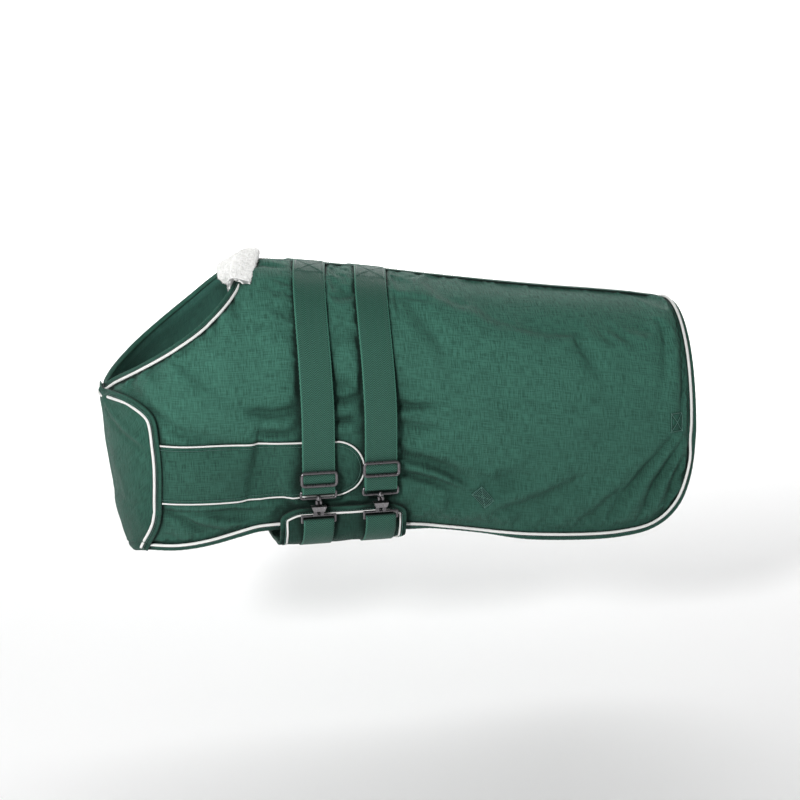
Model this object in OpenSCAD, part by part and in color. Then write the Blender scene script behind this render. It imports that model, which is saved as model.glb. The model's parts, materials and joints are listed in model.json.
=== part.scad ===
// Padded turnout rug for a foal or very small pony, as it sits on the animal.
// +X runs to the tail, +Y to the off (right) side and +Z up.
// The origin is on the animal's back, under the spine seam at mid length.

/* [Cloth] */
// Thickness of the waterproof outer shell
shell_t = 1.2; // [0.8:0.1:1.4]
// Thickness of the quilted fill
fill_t = 7; // [5:0.5:8]
// Thickness of the smooth lining
lining_t = 1; // [0.6:0.1:1.2]
// Clear space between layers that lie on each other
layer_gap = 0.4; // [0.3:0.1:0.5]

/* [Edges] */
// Diameter of the piping cord
piping_d = 4.4; // [3:0.2:4.4]
// Width of the binding tape seen outside the piping
binding_w = 7; // [5:0.5:9]
// Thickness of the binding tape
binding_t = 1; // [0.6:0.1:1.2]

/* [Chest closure] */
// Thickness of the chest panel
panel_t = 4.6; // [3:0.2:5]
// Height of the chest tab
tab_h = 86; // [70:1:90]
// Thickness of the chest tab
tab_t = 1.8; // [1.4:0.1:2]
// Where the tab's round end stops, along the rug
tab_end_x = -94; // [-110:1:-90]

/* [Surcingles] */
// Width of the webbing
webbing_w = 50; // [50:1:50]
// Thickness of the webbing
webbing_t = 2.2; // [1.8:0.1:2.4]
// Centre of the front strap, along the rug, where it hangs straight
front_x = -165; // [-170:1:-160]
// Centre of the rear strap, along the rug, where it hangs straight
rear_x = -69; // [-74:1:-64]
// How far each strap leans forward from the spine to the girth
strap_lean = 20; // [10:1:22]

/* [Metal fittings] */
// Outer width of a slider or wire loop
fitting_w = 58; // [58:0.5:60]
// Outer height of a slider
slider_h = 25; // [24:0.5:26]
// Wire diameter of the loops
wire_d = 3.8; // [3.4:0.1:4]
// Inside width of a D-ring
ring_w = 26; // [24:1:28]

/* [Belly flap] */
// Front edge of the flap, along the rug
flap_front_x = -221; // [-226:1:-216]
// Rear edge of the flap, along the rug
flap_rear_x = -27; // [-32:1:-22]
// Thickness of the flap's fill
flap_fill_t = 3; // [2:0.2:3.2]

/* [Hidden] */

shell_green = [0.07, 0.16, 0.13];
edge_green = [0.10, 0.24, 0.19];
strap_green = [0.09, 0.2, 0.16];
gunmetal = [0.27, 0.26, 0.27];

// ---- The rug's outer surface ------------------------------------------------------------
// Each cross line runs from the neckline or spine down to the hem as one cubic curve.
// A row holds its place along the rug and its four control points [x, half width, z].
NECK_ROWS = [
    [-564, [-466, 0, -150], [-466, 0, -225], [-455, 0, -320], [-429, 0, -405]],
    [-502, [-450, 34, -134], [-467, 62, -208], [-459, 72, -310], [-431, 62, -400]],
    [-440, [-413, 74, -107], [-438, 118, -182], [-434, 130, -290], [-416, 100, -390]],
    [-384, [-370, 97, -77], [-386, 148, -155], [-386, 166, -272], [-374, 120, -388]],
    [-328, [-325, 101, -43], [-330, 158, -122], [-330, 180, -252], [-328, 129, -381]],
    [-274, [-279, 72, 0], [-276, 146, -58], [-274, 182, -206], [-276, 134, -368]]];
// Behind the withers a cross line stays at one x:
// [x, spine z, shoulder half width, flank half width, flank z, hem half width, hem z]
BODY_ROWS = [
    [-248, 35, 112, 190, -140, 135, -362],
    [-150, 26, 116, 194, -148, 138, -362],
    [-50, 13, 118, 195, -154, 140, -370],
    [50, -2, 118, 194, -166, 142, -384],
    [150, -16, 118, 193, -180, 145, -400],
    [250, -29, 117, 191, -188, 146, -409],
    [330, -38, 113, 185, -194, 143, -410],
    [390, -46, 106, 176, -190, 137, -399],
    [428, -53, 94, 157, -178, 137, -364],
    [446, -58, 82, 139, -157, 135, -312],
    [453, -61, 69, 119, -133, 130, -250]];
ROWS = concat(NECK_ROWS, [for (r = BODY_ROWS)
    [r[0], [r[0], 0, r[1]], [r[0], r[2], r[1]], [r[0], r[3], r[4]], [r[0], r[5], r[6]]]]);
WITHERS = len(NECK_ROWS);
LAST = len(ROWS) - 1;
chest_s = ROWS[0][0];
withers_s = ROWS[WITHERS][0];
rear_s = ROWS[LAST][0];

// Row in which place s falls
function row_of(s, i = 0) = i >= LAST - 1 || s < ROWS[i + 1][0] ? i : row_of(s, i + 1);
// Change of control point c per mm at row i. The chest line is met squarely, and the top edge
// turns a corner at the withers, so there the slope comes from one side only. At the rear the cloth
// goes on turning in at the rate of the last two rows.
function slope(c, i, ahead) =
    i == 0 ? [0, ROWS[1][c][1], 0] / (ROWS[1][0] - ROWS[0][0]) :
    i == LAST ? 2 * (ROWS[LAST][c] - ROWS[LAST - 1][c]) / (ROWS[LAST][0] - ROWS[LAST - 1][0])
        - slope(c, LAST - 1, true) :
    let (corner = c == 1 && i == WITHERS,
        a = corner && ahead ? i : i - 1,
        b = corner && !ahead ? i : i + 1)
    (ROWS[b][c] - ROWS[a][c]) / (ROWS[b][0] - ROWS[a][0]);
// Control point c at place s, on a cubic through the rows
function control(c, s) =
    let (i = row_of(s), d = ROWS[i + 1][0] - ROWS[i][0], t = (s - ROWS[i][0]) / d,
        m0 = slope(c, i, true) * d, m1 = slope(c, i + 1, false) * d)
    (2*t*t*t - 3*t*t + 1) * ROWS[i][c] + (t*t*t - 2*t*t + t) * m0
    + (3*t*t - 2*t*t*t) * ROWS[i + 1][c] + (t*t*t - t*t) * m1;
// Point of the outer surface at place s along the rug and v down it, from 0 to 1
function surface_point(s, v) =
    let (u = 1 - v)
    u*u*u * control(1, s) + 3*u*u*v * control(2, s) + 3*u*v*v * control(3, s) + v*v*v * control(4, s);
function unit(a) = a / norm(a);
// Direction square to the surface
function square_to(s, v) =
    unit(cross(surface_point(s + 0.5, v) - surface_point(s, v),
        surface_point(s, v + 0.002) - surface_point(s, v - 0.002)));
// Outward direction, eased across the last rows before the withers, where the cross lines crowd
shoulder_s = NECK_ROWS[WITHERS - 1][0];
function outward(s, v) = let (t = (s - shoulder_s) / (withers_s - shoulder_s))
    t <= 0 || t >= 1 ? square_to(s, v)
        : unit((1 - t) * square_to(shoulder_s, v) + t * square_to(withers_s, v));
// Point at distance n outside the surface
function off_surface(s, v, n) = surface_point(s, v) + n * outward(s, v);
// How far down the cross line at s the height z lies, by halving
function down_at(s, z, low = 0, high = 1, left = 14) =
    let (mid = (low + high) / 2)
    left == 0 ? mid :
    surface_point(s, mid)[2] > z ? down_at(s, z, mid, high, left - 1)
        : down_at(s, z, low, mid, left - 1);

// Places along the rug and down it at which the cloth is drawn
seam_gap = 1.6;
COLUMNS = concat([chest_s + seam_gap], [for (s = [-546:16:-434]) s],
    [-412, -384, -356, -328, -302, -274, -265, -256, withers_s, -234, -200, -150, -100, -50, 0, 50, 100,
    150, 200, 250, 290, 330, 360, 390, 410, 424, 434, 441, 447, rear_s - 1]);
LEVELS = [0.004, 0.06, 0.14, 0.24, 0.36, 0.48, 0.54, 0.6, 0.66, 0.72, 0.82, 0.91, 0.996];

// ---- Solids from rows of points --------------------------------------------------------
// Closed solid between two point grids of one shape, the first outside the second
module slab(outer, inner) {
    rows = len(outer);
    cols = len(outer[0]);
    below = rows * cols;
    function at(r, c) = r * cols + c;
    skin = [for (r = [0:rows - 2], c = [0:cols - 2])
        each [[at(r, c), at(r, c + 1), at(r + 1, c + 1)], [at(r, c), at(r + 1, c + 1), at(r + 1, c)]]];
    rim = concat([for (c = [0:cols - 1]) at(0, c)], [for (r = [1:rows - 1]) at(r, cols - 1)],
        [for (c = [cols - 2:-1:0]) at(rows - 1, c)], [for (r = [rows - 2:-1:1]) at(r, 0)]);
    edge = [for (k = [0:len(rim) - 1]) let (a = rim[k], b = rim[(k + 1) % len(rim)])
        each [[a, a + below, b + below], [a, b + below, b]]];
    polyhedron(
        points = concat([for (row = outer) each row], [for (row = inner) each row]),
        faces = concat(skin, [for (f = skin) [f[2] + below, f[1] + below, f[0] + below]], edge));
}
// Closed tube through rings of points. The rings have an even number of points, and an end is
// closed like a ladder from the first two points to the two opposite them.
module tube_of(rings) {
    n = len(rings[0]);
    last = (len(rings) - 1) * n;
    cap = [for (i = [0:n / 2 - 2]) let (a = (n - i) % n, b = 1 + i, c = 2 + i, d = n - i - 1)
        each [[a, b, c], [a, c, d]]];
    polyhedron(
        points = [for (ring = rings) each ring],
        faces = concat(
            cap, [for (f = cap) [last + f[2], last + f[1], last + f[0]]],
            [for (r = [0:len(rings) - 2], k = [0:n - 1]) let (a = r * n + k, b = r * n + (k + 1) % n)
                each [[a, a + n, b + n], [a, b + n, b]]]));
}
// Flat shape [across, out] carried along an edge: path of [point, outward direction of the layers,
// direction square to the drawn cloth]. Across is away from the cloth, which is to the left of the
// path when side is 1.
function edge_rings(path, side, profile) = [for (i = [0:len(path) - 1])
    let (a = path[max(i - 1, 0)][0], b = path[min(i + 1, len(path) - 1)][0],
        across = -side * unit(cross(b - a, path[i][2])))
    [for (p = profile) path[i][0] + p[0] * across + p[1] * path[i][1]]];
function turned(list, yes) = yes ? [for (i = [len(list) - 1:-1:0]) list[i]] : list;
// A closed outline the other way round, with its first two points still a pair
function other_way(ring) = let (n = len(ring)) [for (i = [0:n - 1]) ring[(n + 1 - i) % n]];
module along_edge(path, side, profile) tube_of(edge_rings(path, side, side < 0 ? other_way(profile) : profile));

// A part drawn on the off side, moved to the side asked for
module on_side(side) mirror([0, side < 0 ? 1 : 0, 0]) children();

// Direction square to the drawn cloth where column k crosses level j, from the chords beside it
function grid_point(k, j) = surface_point(COLUMNS[k], LEVELS[j]);
function grid_out(k, j) = unit(cross(
    grid_point(min(k + 1, len(COLUMNS) - 1), j) - grid_point(max(k - 1, 0), j),
    grid_point(k, min(j + 1, len(LEVELS) - 1)) - grid_point(k, max(j - 1, 0))));

function layer(n) = [for (s = COLUMNS) [for (v = LEVELS) off_surface(s, v, n)]];
module cloth_layer(from, to) slab(layer(to), layer(from));

shell_in = -shell_t;
fill_out = shell_in - layer_gap;
fill_in = fill_out - fill_t;
lining_out = fill_in - layer_gap;
lining_in = lining_out - lining_t;

module outer_shell(side) color(shell_green) on_side(side) cloth_layer(shell_in, 0);
module fill_layer(side) color([0.85, 0.85, 0.82]) on_side(side) cloth_layer(fill_in, fill_out);
module lining_layer(side) color([0.08, 0.15, 0.13]) on_side(side) cloth_layer(lining_in, lining_out);

// Tape that covers the seam where the two halves meet along the spine
tape_half = 7;
tape_t = 0.6;
function tape_strip(n) = [for (s = COLUMNS) if (s > withers_s + 10 && s < rear_s - 10)
    [for (y = [-tape_half, -tape_half / 2, 0, tape_half / 2, tape_half])
        surface_point(s, 0) + [0, y, n]]];
module spine_tape() color(shell_green) slab(tape_strip(layer_gap + tape_t), tape_strip(layer_gap));

// ---- Bound and piped edges --------------------------------------------------------------
edge_clear = 1.8;           // space between the cloth and what is folded round or laid along its edge
// Tape folded round the cloth's edge: open towards the cloth
function binding_profile(inner, outer) = let (top = outer + edge_clear, bottom = inner - edge_clear, e = edge_clear) [
    [-binding_w, top], [-binding_w, top + binding_t], [e + binding_t, top + binding_t],
    [e + binding_t, bottom - binding_t], [-binding_w, bottom - binding_t], [-binding_w, bottom],
    [e, bottom], [e, top]];
// Round cord lying on the cloth beside the tape
function piping_profile(outer) = let (r = piping_d / 2)
    [for (k = [5:-1:0]) [-binding_w - layer_gap - r, outer + edge_clear + r] + r * [cos(60*k), sin(60*k)]];

function flipped(p) = [p[0], -p[1], p[2]];
// Round the neck opening on one side
function neck_side(from, to) = [for (s = COLUMNS) if (s >= from && s <= to)
    let (out = outward(s, LEVELS[0])) [surface_point(s, 0), out, out]];
// Over the withers, from the near side to the off side
function withers_path() = let (off = neck_side(shoulder_s - 1, withers_s - 1), top = outward(withers_s, 0))
    concat([for (p = off) [for (a = p) flipped(a)]], [[surface_point(withers_s, 0), top, top]], turned(off, true));
// Where the hem climbs and turns in at the rear, the edge faces as the 12 mm beside it do together
function rear_out(s, v, along) = let (p = surface_point(s, v),
        q = surface_point(s - 12, v < 0.2 ? v : down_at(s - 12, p[2])))
    unit(cross(p - q, along));
function hem_path() = let (last_k = len(COLUMNS) - 1, last_j = len(LEVELS) - 1) concat(
    [for (k = [0:last_k]) let (s = COLUMNS[k], out = s > 430
            ? rear_out(s, 1, surface_point(s - 1, 1) - surface_point(s, 1)) : outward(s, LEVELS[last_j]))
        [surface_point(s, 1), out, s > 430 ? out : grid_out(k, last_j)]],
    [for (j = [last_j - 1:-1:0]) let (v = LEVELS[j],
            out = rear_out(rear_s, v, surface_point(rear_s, v + 0.01) - surface_point(rear_s, v - 0.01)))
        [surface_point(rear_s, v), out, out]]);

// The neck's tape and cord run from the chest seam to the fleece, which covers the withers
module neck_binding() color(edge_green) for (side = [-1, 1]) on_side(side)
    along_edge(neck_side(chest_s, shoulder_s), -1, binding_profile(lining_in, 0));
module neck_piping() color("white") for (side = [-1, 1]) on_side(side)
    along_edge(neck_side(chest_s, shoulder_s), -1, piping_profile(0));
module edge_binding(side) color(edge_green) on_side(side)
    along_edge(hem_path(), 1, binding_profile(lining_in, 0));
module edge_piping(side) color("white") on_side(side) along_edge(hem_path(), 1, piping_profile(0));

// ---- Chest closure ----------------------------------------------------------------------
// The off side's front wraps over the near side's. The edge is [down, along].
PANEL_EDGE = [[0, -556], [0.04, -530], [0.1, -482], [0.2, -440], [0.32, -412], [0.5, -403],
    [0.7, -402], [0.85, -408], [1, -440]];
panel_in = 6.6;
panel_out = panel_in + panel_t;
function panel_edge(v) = lookup(v, PANEL_EDGE);
PANEL_LEVELS = concat([0.004, 0.03], [for (v = [0.07:0.075:0.97]) v], [0.996]);
// The panel's root laps a little over the off side, so its first column is beyond the centre
function panel_grid(n) = concat(
    [[for (v = PANEL_LEVELS) flipped(off_surface(chest_s + 14, v, n))]],
    [for (a = [0:1/7:1.001]) [for (v = PANEL_LEVELS)
        let (e = panel_edge(v)) off_surface(chest_s + a * (e - chest_s), v, n)]]);
function panel_path() = [for (v = turned(PANEL_LEVELS, false))
    let (s = panel_edge(v), out = outward(s, v)) [off_surface(s, v, panel_out), out, out]];

module chest_panel_shell() color(edge_green) on_side(-1) slab(panel_grid(panel_out), panel_grid(panel_in));
module chest_panel_binding() color(edge_green) on_side(-1)
    along_edge(panel_path(), -1, [[-binding_w, layer_gap], [-binding_w, layer_gap + binding_t],
        [layer_gap + binding_t, layer_gap + binding_t], [layer_gap + binding_t, 0.6 - panel_t],
        [layer_gap, 0.6 - panel_t], [layer_gap, layer_gap]]);
module chest_panel_piping() color("white") on_side(-1) along_edge(panel_path(), -1, piping_profile(0));

// The tab comes from under the panel and closes with hook and loop on the near side
patch_t = 0.9;
loop_in = layer_gap;
hook_in = loop_in + patch_t + 0.3;
tab_in = hook_in + patch_t + 0.3;
tab_out = tab_in + tab_t;
tab_start = -455;
tab_round = tab_end_x - tab_h / 2;
function tab_mid(s) = -261 - 5 * (s - tab_start) / (tab_end_x - tab_start);
function tab_half(s, trim = 0) = let (r = tab_h / 2 - trim, a = (s - tab_round) / r)
    s < tab_round ? r : r * sqrt(max(1 - a * a, 0.02));
function tab_point(s, a, n, trim = 0) =
    off_surface(s, down_at(s, tab_mid(s) - a * tab_half(s, trim)), n);
function tab_columns(from, trim = 0) = concat([for (s = [from:22:tab_round - 8]) s],
    [for (d = [0:15:75]) tab_round + (tab_h / 2 - trim) * sin(d)], [tab_end_x - trim - 0.6]);
module on_tab(from, n_in, n_out, trim) on_side(-1) slab(
    [for (s = tab_columns(from, trim)) [for (a = [-1:0.5:1]) tab_point(s, a, n_out, trim)]],
    [for (s = tab_columns(from, trim)) [for (a = [-1:0.5:1]) tab_point(s, a, n_in, trim)]]);

module chest_tab() color(shell_green) on_tab(tab_start, tab_in, tab_out, 0);
module tab_hook_patch() color([0.05, 0.08, 0.07]) on_tab(-240, hook_in, hook_in + patch_t, 12);
module tab_loop_patch() color([0.05, 0.08, 0.07]) on_tab(-300, loop_in, loop_in + patch_t, 10);
// Thin piping round the tab's free edge, beside it rather than on it so the strap lies flat
tab_piping_d = 2.2;
function tab_rim(a) = [for (s = tab_columns(tab_start))
    let (out = outward(s, down_at(s, tab_mid(s) - a * tab_half(s))))
    [tab_point(s, a, tab_in + tab_piping_d / 2), out, out]];
module chest_tab_piping() color("white") on_side(-1)
    along_edge(concat(tab_rim(-1), turned(tab_rim(1), true)), -1,
        [for (k = [5:-1:0]) [layer_gap + tab_piping_d / 2, 0] + tab_piping_d / 2 * [cos(60*k), sin(60*k)]]);

// ---- Fleece at the withers --------------------------------------------------------------
// Pad folded over the neckline: an outer leg on the cloth, an inner leg under it
FLEECE_PROFILE = [[-20, 11], [-19, 14], [-4, 15.4], [6, 10], [8, -3], [5, -15], [-4, -20], [-19, -19],
    [-20, -15], [-4, -15], [3.4, -12], [3.4, -3], [3.4, 8], [-4, 11]];
module wither_fleece() color("white") along_edge(withers_path(), 1, FLEECE_PROFILE);

// ---- Surcingles -------------------------------------------------------------------------
strap_n = 3.2;              // middle of the webbing above the cloth at the spine
hang_w = 172;               // half width at which a strap hangs straight
hang_top_z = -186;          // below this the strap is straight
STRAP_LEVELS = [-0.14, -0.06, -0.004, 0.004, 0.06, 0.14, 0.24, 0.36, 0.48, 0.54, 0.6]; // the end laps over the spine
loop_bar_z = -296;          // bar that the strap's end is folded round
loop_bar_w = 168;
fold_r = 4;
function strap_x(x, v) = x + strap_lean * pow(max(1 - abs(v) / 0.5, 0), 2);
// Corners and middles of webbing seen end on: [across, outwards]
WEB_SECTION = [[-1, -1], [-1, 1], [0, 1], [1, 1], [1, -1], [0, -1]];
// Webbing lying on the cloth, at v down the side
function strap_on_cloth(x, v) = let (n = strap_n + 12 * pow(max(abs(v) - 0.1, 0) / 0.55, 2))
    [for (c = WEB_SECTION) let (p = off_surface(strap_x(x, v) + c[0] * webbing_w / 2, abs(v), n + c[1] * webbing_t / 2))
        v < 0 ? flipped(p) : p];
// Webbing that lies flat across X, at its middle and facing outwards
function web_ring(middle, out, width = webbing_w) =
    [for (c = WEB_SECTION) middle + [c[0] * width / 2, 0, 0] + c[1] * webbing_t / 2 * out];
// Down a strap, round the loop bar and up behind to the return's end
function strap_rings(x, return_z) = concat(
    [for (v = STRAP_LEVELS) strap_on_cloth(x, v)],
    [for (z = [hang_top_z, -230, -262]) web_ring([x, hang_w, z], [0, 1, 0])],
    [for (a = [0:-30:-180]) let (out = [0, cos(a), sin(a)]) web_ring([x, loop_bar_w, loop_bar_z] + fold_r * out, out)],
    [web_ring([x, loop_bar_w - fold_r, return_z], [0, -1, 0])]);
module surcingle(x, slider_z) color(strap_green) on_side(-1)
    tube_of([for (r = strap_rings(x, slider_z - 7)) other_way(r)]);

// ---- Sliders ----------------------------------------------------------------------------
front_slider_z = -275;
rear_slider_z = -265;
bar_h = 4.8;
strap_face = hang_w + webbing_t / 2;
centre_bar_w = 167;
module bar_x(length, w, z, r) translate([0, w, z]) rotate([0, 90, 0]) cylinder(h = length, r = r, center = true, $fn = 24);
// Three-bar slider: two bars in front of the strap, one behind it
module slider(x, z) color(gunmetal) on_side(-1) translate([x, 0, z]) {
    side_w = (fitting_w - webbing_w) / 2 - 0.4;
    for (up = [-1, 1])
        translate([0, strap_face + 0.5, up * (slider_h - bar_h) / 2]) rounded_bar(fitting_w, bar_h, 4);
    for (end = [-1, 1])
        translate([end * (fitting_w - side_w) / 2 - side_w / 2, centre_bar_w - 2, -slider_h / 2 + 2])
            cube([side_w, strap_face + 3.2 - centre_bar_w + 2, slider_h - 4]);
    bar_x(fitting_w - side_w, centre_bar_w, 0, 1.6);
}
// Bar along X with bevelled edges, standing out from w = 0
module rounded_bar(length, height, depth) {
    c = 1.2;
    rotate([90, 0, 90]) translate([0, 0, -length / 2]) linear_extrude(length)
        polygon([[0, -height/2], [depth - c, -height/2], [depth, -height/2 + c], [depth, height/2 - c],
            [depth - c, height/2], [0, height/2]]);
}
// The strap's sewn end round the centre bar, and the hump of webbing between the bars
module slider_webbing(x, z) color(strap_green) on_side(-1) translate([x, 0, z]) {
    translate([0, centre_bar_w, 0]) rotate([0, 90, 0]) difference() {
        cylinder(h = webbing_w - 1, r = 3.5, center = true, $fn = 32);
        cylinder(h = webbing_w + 1, r = 1.9, center = true, $fn = 32);
    }
    hump_h = slider_h - 2 * bar_h - 2;
    translate([0, strap_face + 0.4, 0]) rounded_bar(webbing_w - 1, hump_h, 3.2);
}

// ---- Swivel hooks -----------------------------------------------------------------------
wire_r = wire_d / 2;
bottom_bar_z = -306.5;
stem_w = loop_bar_w;
neck_top_z = -310.4;
neck_h = 6.4;
cup_top_z = -319;
cup_h = 7.2;
plate_t = 1.4;
cavity_r = 6.4;
slot_half = 6.2;
shaft_r = 1.8;
tee_half = 4.8;
tee_h = 2.2;
// Rectangular wire ring, flat in the XZ plane, with square-cut corners
module wire_ring(width, height) {
    for (up = [-1, 1]) bar_x(width - wire_d, 0, up * (height - wire_d) / 2, wire_r);
    for (end = [-1, 1]) {
        translate([end * (width - wire_d) / 2, 0, -(height - wire_d) / 2]) cylinder(h = height - wire_d, r = wire_r, $fn = 24);
        for (up = [-1, 1]) translate([end * (width - wire_d) / 2, 0, up * (height - wire_d) / 2]) sphere(r = wire_r, $fn = 24);
    }
}
// Wire loop in the strap's end, with the collar that the stem turns in
module hook_loop(x) color(gunmetal) on_side(-1) translate([x, stem_w, 0]) difference() {
    union() {
        translate([0, 0, (loop_bar_z + bottom_bar_z) / 2]) wire_ring(fitting_w, loop_bar_z - bottom_bar_z + wire_d);
        translate([0, 0, bottom_bar_z - 3.4]) cylinder(h = 5.4, r = 4.6, $fn = 32);
    }
    translate([0, 0, bottom_bar_z - 10]) cylinder(h = 20, r = shaft_r + 0.3, $fn = 32);
    translate([0, 0, bottom_bar_z + 2]) cylinder(h = 4, r = 4.8, $fn = 32);
}
// Stem: head above the collar, grip lobes below it, and the T that enters the eye
module hook_stem(x) color(gunmetal) on_side(-1) translate([x, stem_w, 0]) {
    tee_z = cup_top_z - plate_t - 0.5 - tee_h;
    translate([0, 0, bottom_bar_z + 2.3]) cylinder(h = 1.2, r = 3, $fn = 32);
    translate([0, 0, tee_z + tee_h / 2]) cylinder(h = bottom_bar_z + 2.5 - tee_z - tee_h / 2, r = shaft_r, $fn = 32);
    for (end = [-1, 1]) translate([end * 3.1 - 1.9, -3, neck_top_z - neck_h]) cube([3.8, 6, neck_h]);
    translate([-1.6, -tee_half, tee_z]) cube([3.2, 2 * tee_half, tee_h]);
}
// Eye: slotted cup over two legs and the lower wire loop, which the belly webbing holds
lower_bar_z = -334;
hidden_bar_z = -343.5;
module hook_eye(x) color(gunmetal) on_side(-1) translate([x, stem_w, 0]) {
    difference() {
        rotate([90, 0, 0]) translate([0, 0, -6.8]) linear_extrude(13.6)
            polygon([[-11.5, cup_top_z], [11.5, cup_top_z], [8.5, cup_top_z - cup_h], [-8.5, cup_top_z - cup_h]]);
        translate([-shaft_r - 0.4, -slot_half, cup_top_z - plate_t - 1]) cube([2 * shaft_r + 0.8, 2 * slot_half, plate_t + 2]);
        translate([0, 0, cup_top_z - plate_t - 3.4]) cylinder(h = 3.4, r = cavity_r, $fn = 48);
    }
    for (end = [-1, 1])
        translate([end * 5.3 - 2.7, -2.4, lower_bar_z]) cube([5.4, 4.8, cup_top_z - cup_h - lower_bar_z + 0.5]);
    translate([0, 0, (lower_bar_z + hidden_bar_z) / 2]) wire_ring(lower_loop_w, lower_bar_z - hidden_bar_z + wire_d);
}

// ---- Belly flap -------------------------------------------------------------------------
// Middle of the flap across the belly, [y, z], from the off hem round to the near end
hinge = [152, -350];
FLAP_LINE = [[152, -357], [150, -372], [138, -386], [100, -394], [50, -396], [0, -396], [-50, -394],
    [-100, -390], [-136, -384.9], [-150.3, -377.4], [-156.6, -364], [-157, -345], [-157, -326]];
flap_shell_t = 0.9;
flap_half = flap_fill_t / 2 + layer_gap + flap_shell_t;
// Left-hand normal of the line in the YZ plane, which points away from the animal
function line_normal(line, i) = let (a = line[max(i - 1, 0)], b = line[min(i + 1, len(line) - 1)], d = unit(b - a))
    [d[1], -d[0]] * -1;
function line_offset(line, n) = [for (i = [0:len(line) - 1]) line[i] + n * line_normal(line, i)];
function flap_outline(n_in, n_out) = concat(line_offset(FLAP_LINE, n_out), turned(line_offset(FLAP_LINE, n_in), true));
module across_x(from, to) translate([from, 0, 0]) rotate([90, 0, 90]) linear_extrude(to - from) children();
module flap_layer(n_in, n_out) across_x(flap_front_x + 1, flap_rear_x - 1) polygon(flap_outline(n_in, n_out));

module belly_flap_shell() color(shell_green) {
    flap_layer(flap_fill_t / 2 + layer_gap, flap_half);
    across_x(flap_front_x + 1, flap_rear_x - 1) translate(hinge) circle(r = 2.6, $fn = 24);
}
module belly_flap_fill() color([0.85, 0.85, 0.82]) flap_layer(-flap_fill_t / 2, flap_fill_t / 2);
module belly_flap_lining() color([0.08, 0.15, 0.13]) flap_layer(-flap_half, -flap_fill_t / 2 - layer_gap);
// Binding round the two long edges and the near end
module belly_flap_binding() color(edge_green) {
    b = flap_half + binding_t + layer_gap;
    n = len(FLAP_LINE);
    run = [for (i = [2:n - 1]) i];
    outer = line_offset(FLAP_LINE, b);
    inner = line_offset(FLAP_LINE, -b);
    ring = concat([for (i = run) outer[i]], turned([for (i = run) inner[i]], true));
    for (x = [flap_front_x - 1, flap_rear_x - 0.6]) across_x(x, x + 1.6) polygon(ring);
    tip = FLAP_LINE[n - 1];
    across_x(flap_front_x - 1, flap_rear_x + 1) translate([tip[0] - b, tip[1] + 0.4]) square([2 * b, binding_t]);
    for (s = [-1, 1]) across_x(flap_front_x + 1, flap_rear_x - 1)
        translate([tip[0] + s * (b - binding_t / 2) - binding_t / 2, tip[1] - binding_w]) square([binding_t, binding_w + 0.4]);
}
// Piping on the outer face, down both sides and along the near end
flap_piping_d = 3;
module belly_flap_piping() color("white") {
    r = flap_piping_d / 2;
    n = len(FLAP_LINE);
    mid = line_offset(FLAP_LINE, flap_half + layer_gap + r);
    inset = binding_w + 0.6 + r;
    for (x = [flap_front_x + inset, flap_rear_x - inset])
        tube_of([for (i = [5:n - 1]) let (p = i == n - 1 ? mid[i] - [0, inset + 1] : mid[i], d = line_normal(FLAP_LINE, i))
            [for (k = [5:-1:0]) [x + r * cos(60*k), p[0] + r * sin(60*k) * d[0], p[1] + r * sin(60*k) * d[1]]]]);
    translate([(flap_front_x + flap_rear_x) / 2, mid[n - 1][0], mid[n - 1][1] - inset])
        rotate([0, 90, 0]) cylinder(h = flap_rear_x - flap_front_x - 2 * inset + 2 * r, r = r, center = true, $fn = 16);
}
// Tape that joins the flap's root to the off side, just above the hem
function anchor_grid(n) = [for (s = COLUMNS) if (s > flap_front_x + 8 && s < flap_rear_x - 8)
    [for (z = [-328, -337, -346]) off_surface(s, down_at(s, z), n)]];
module flap_anchor_tape() color(shell_green) slab(anchor_grid(3.4), anchor_grid(layer_gap));

// Webbing under the flap, up its outer face and round the eye's lower bar
lower_loop_w = fitting_w - 3;
belly_webbing_w = lower_loop_w - 2 * wire_d - 0.6;
module belly_webbing(x) color(strap_green) {
    line = line_offset(FLAP_LINE, flap_half + layer_gap + webbing_t / 2 + 0.3);
    up = [for (i = [3:9]) let (d = line_normal(FLAP_LINE, i)) [[x, line[i][0], line[i][1]], [0, d[0], d[1]]]];
    r = 3.4;
    fold = [for (a = [0:30:210]) let (out = [0, -cos(a), sin(a)]) [[x, -stem_w, hidden_bar_z] + r * out, out]];
    run = concat(up, [[[x, -168.4, -362], [0, -0.95, -0.2]], [[x, -171.4, -352], [0, -1, 0]]], fold);
    tube_of([for (p = run) web_ring(p[0], p[1], belly_webbing_w)]);
}

// ---- Rings inside for leg straps and a tail cord ----------------------------------------
ring_wire_r = 2;
RING_PLACES = [[104, 0.89], [412, 0.71]]; // [along, down]
ring_drop = 9.4;
// Middle of a ring's straight bar
function ring_pivot(place) = let (p = off_surface(place[0], place[1], lining_in - ring_drop)) [place[0], p[1], p[2]];
module d_ring(place, side) color(gunmetal) on_side(side) translate(ring_pivot(place)) {
    bar_x(ring_w + 4, 0, 0, ring_wire_r);
    r = ring_w / 2 + 2;
    rotate([90, 0, 0]) rotate_extrude(angle = -180, $fn = 48) translate([r, 0]) circle(r = ring_wire_r, $fn = 24);
    for (end = [-1, 1]) translate([end * r, 0, 0]) sphere(r = ring_wire_r, $fn = 24);
}
// Folded webbing tab that holds a ring against the lining
module ring_keepers() color(strap_green) for (side = [-1, 1], place = RING_PLACES)
    on_side(side) translate(ring_pivot(place)) difference() {
        union() {
            rotate([0, 90, 0]) cylinder(h = 22, r = 3.9, center = true, $fn = 32);
            translate([-11, -0.4, 0]) cube([22, 3.6, 14]);
        }
        rotate([0, 90, 0]) cylinder(h = 24, r = ring_wire_r + 0.3, center = true, $fn = 32);
    }

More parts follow.
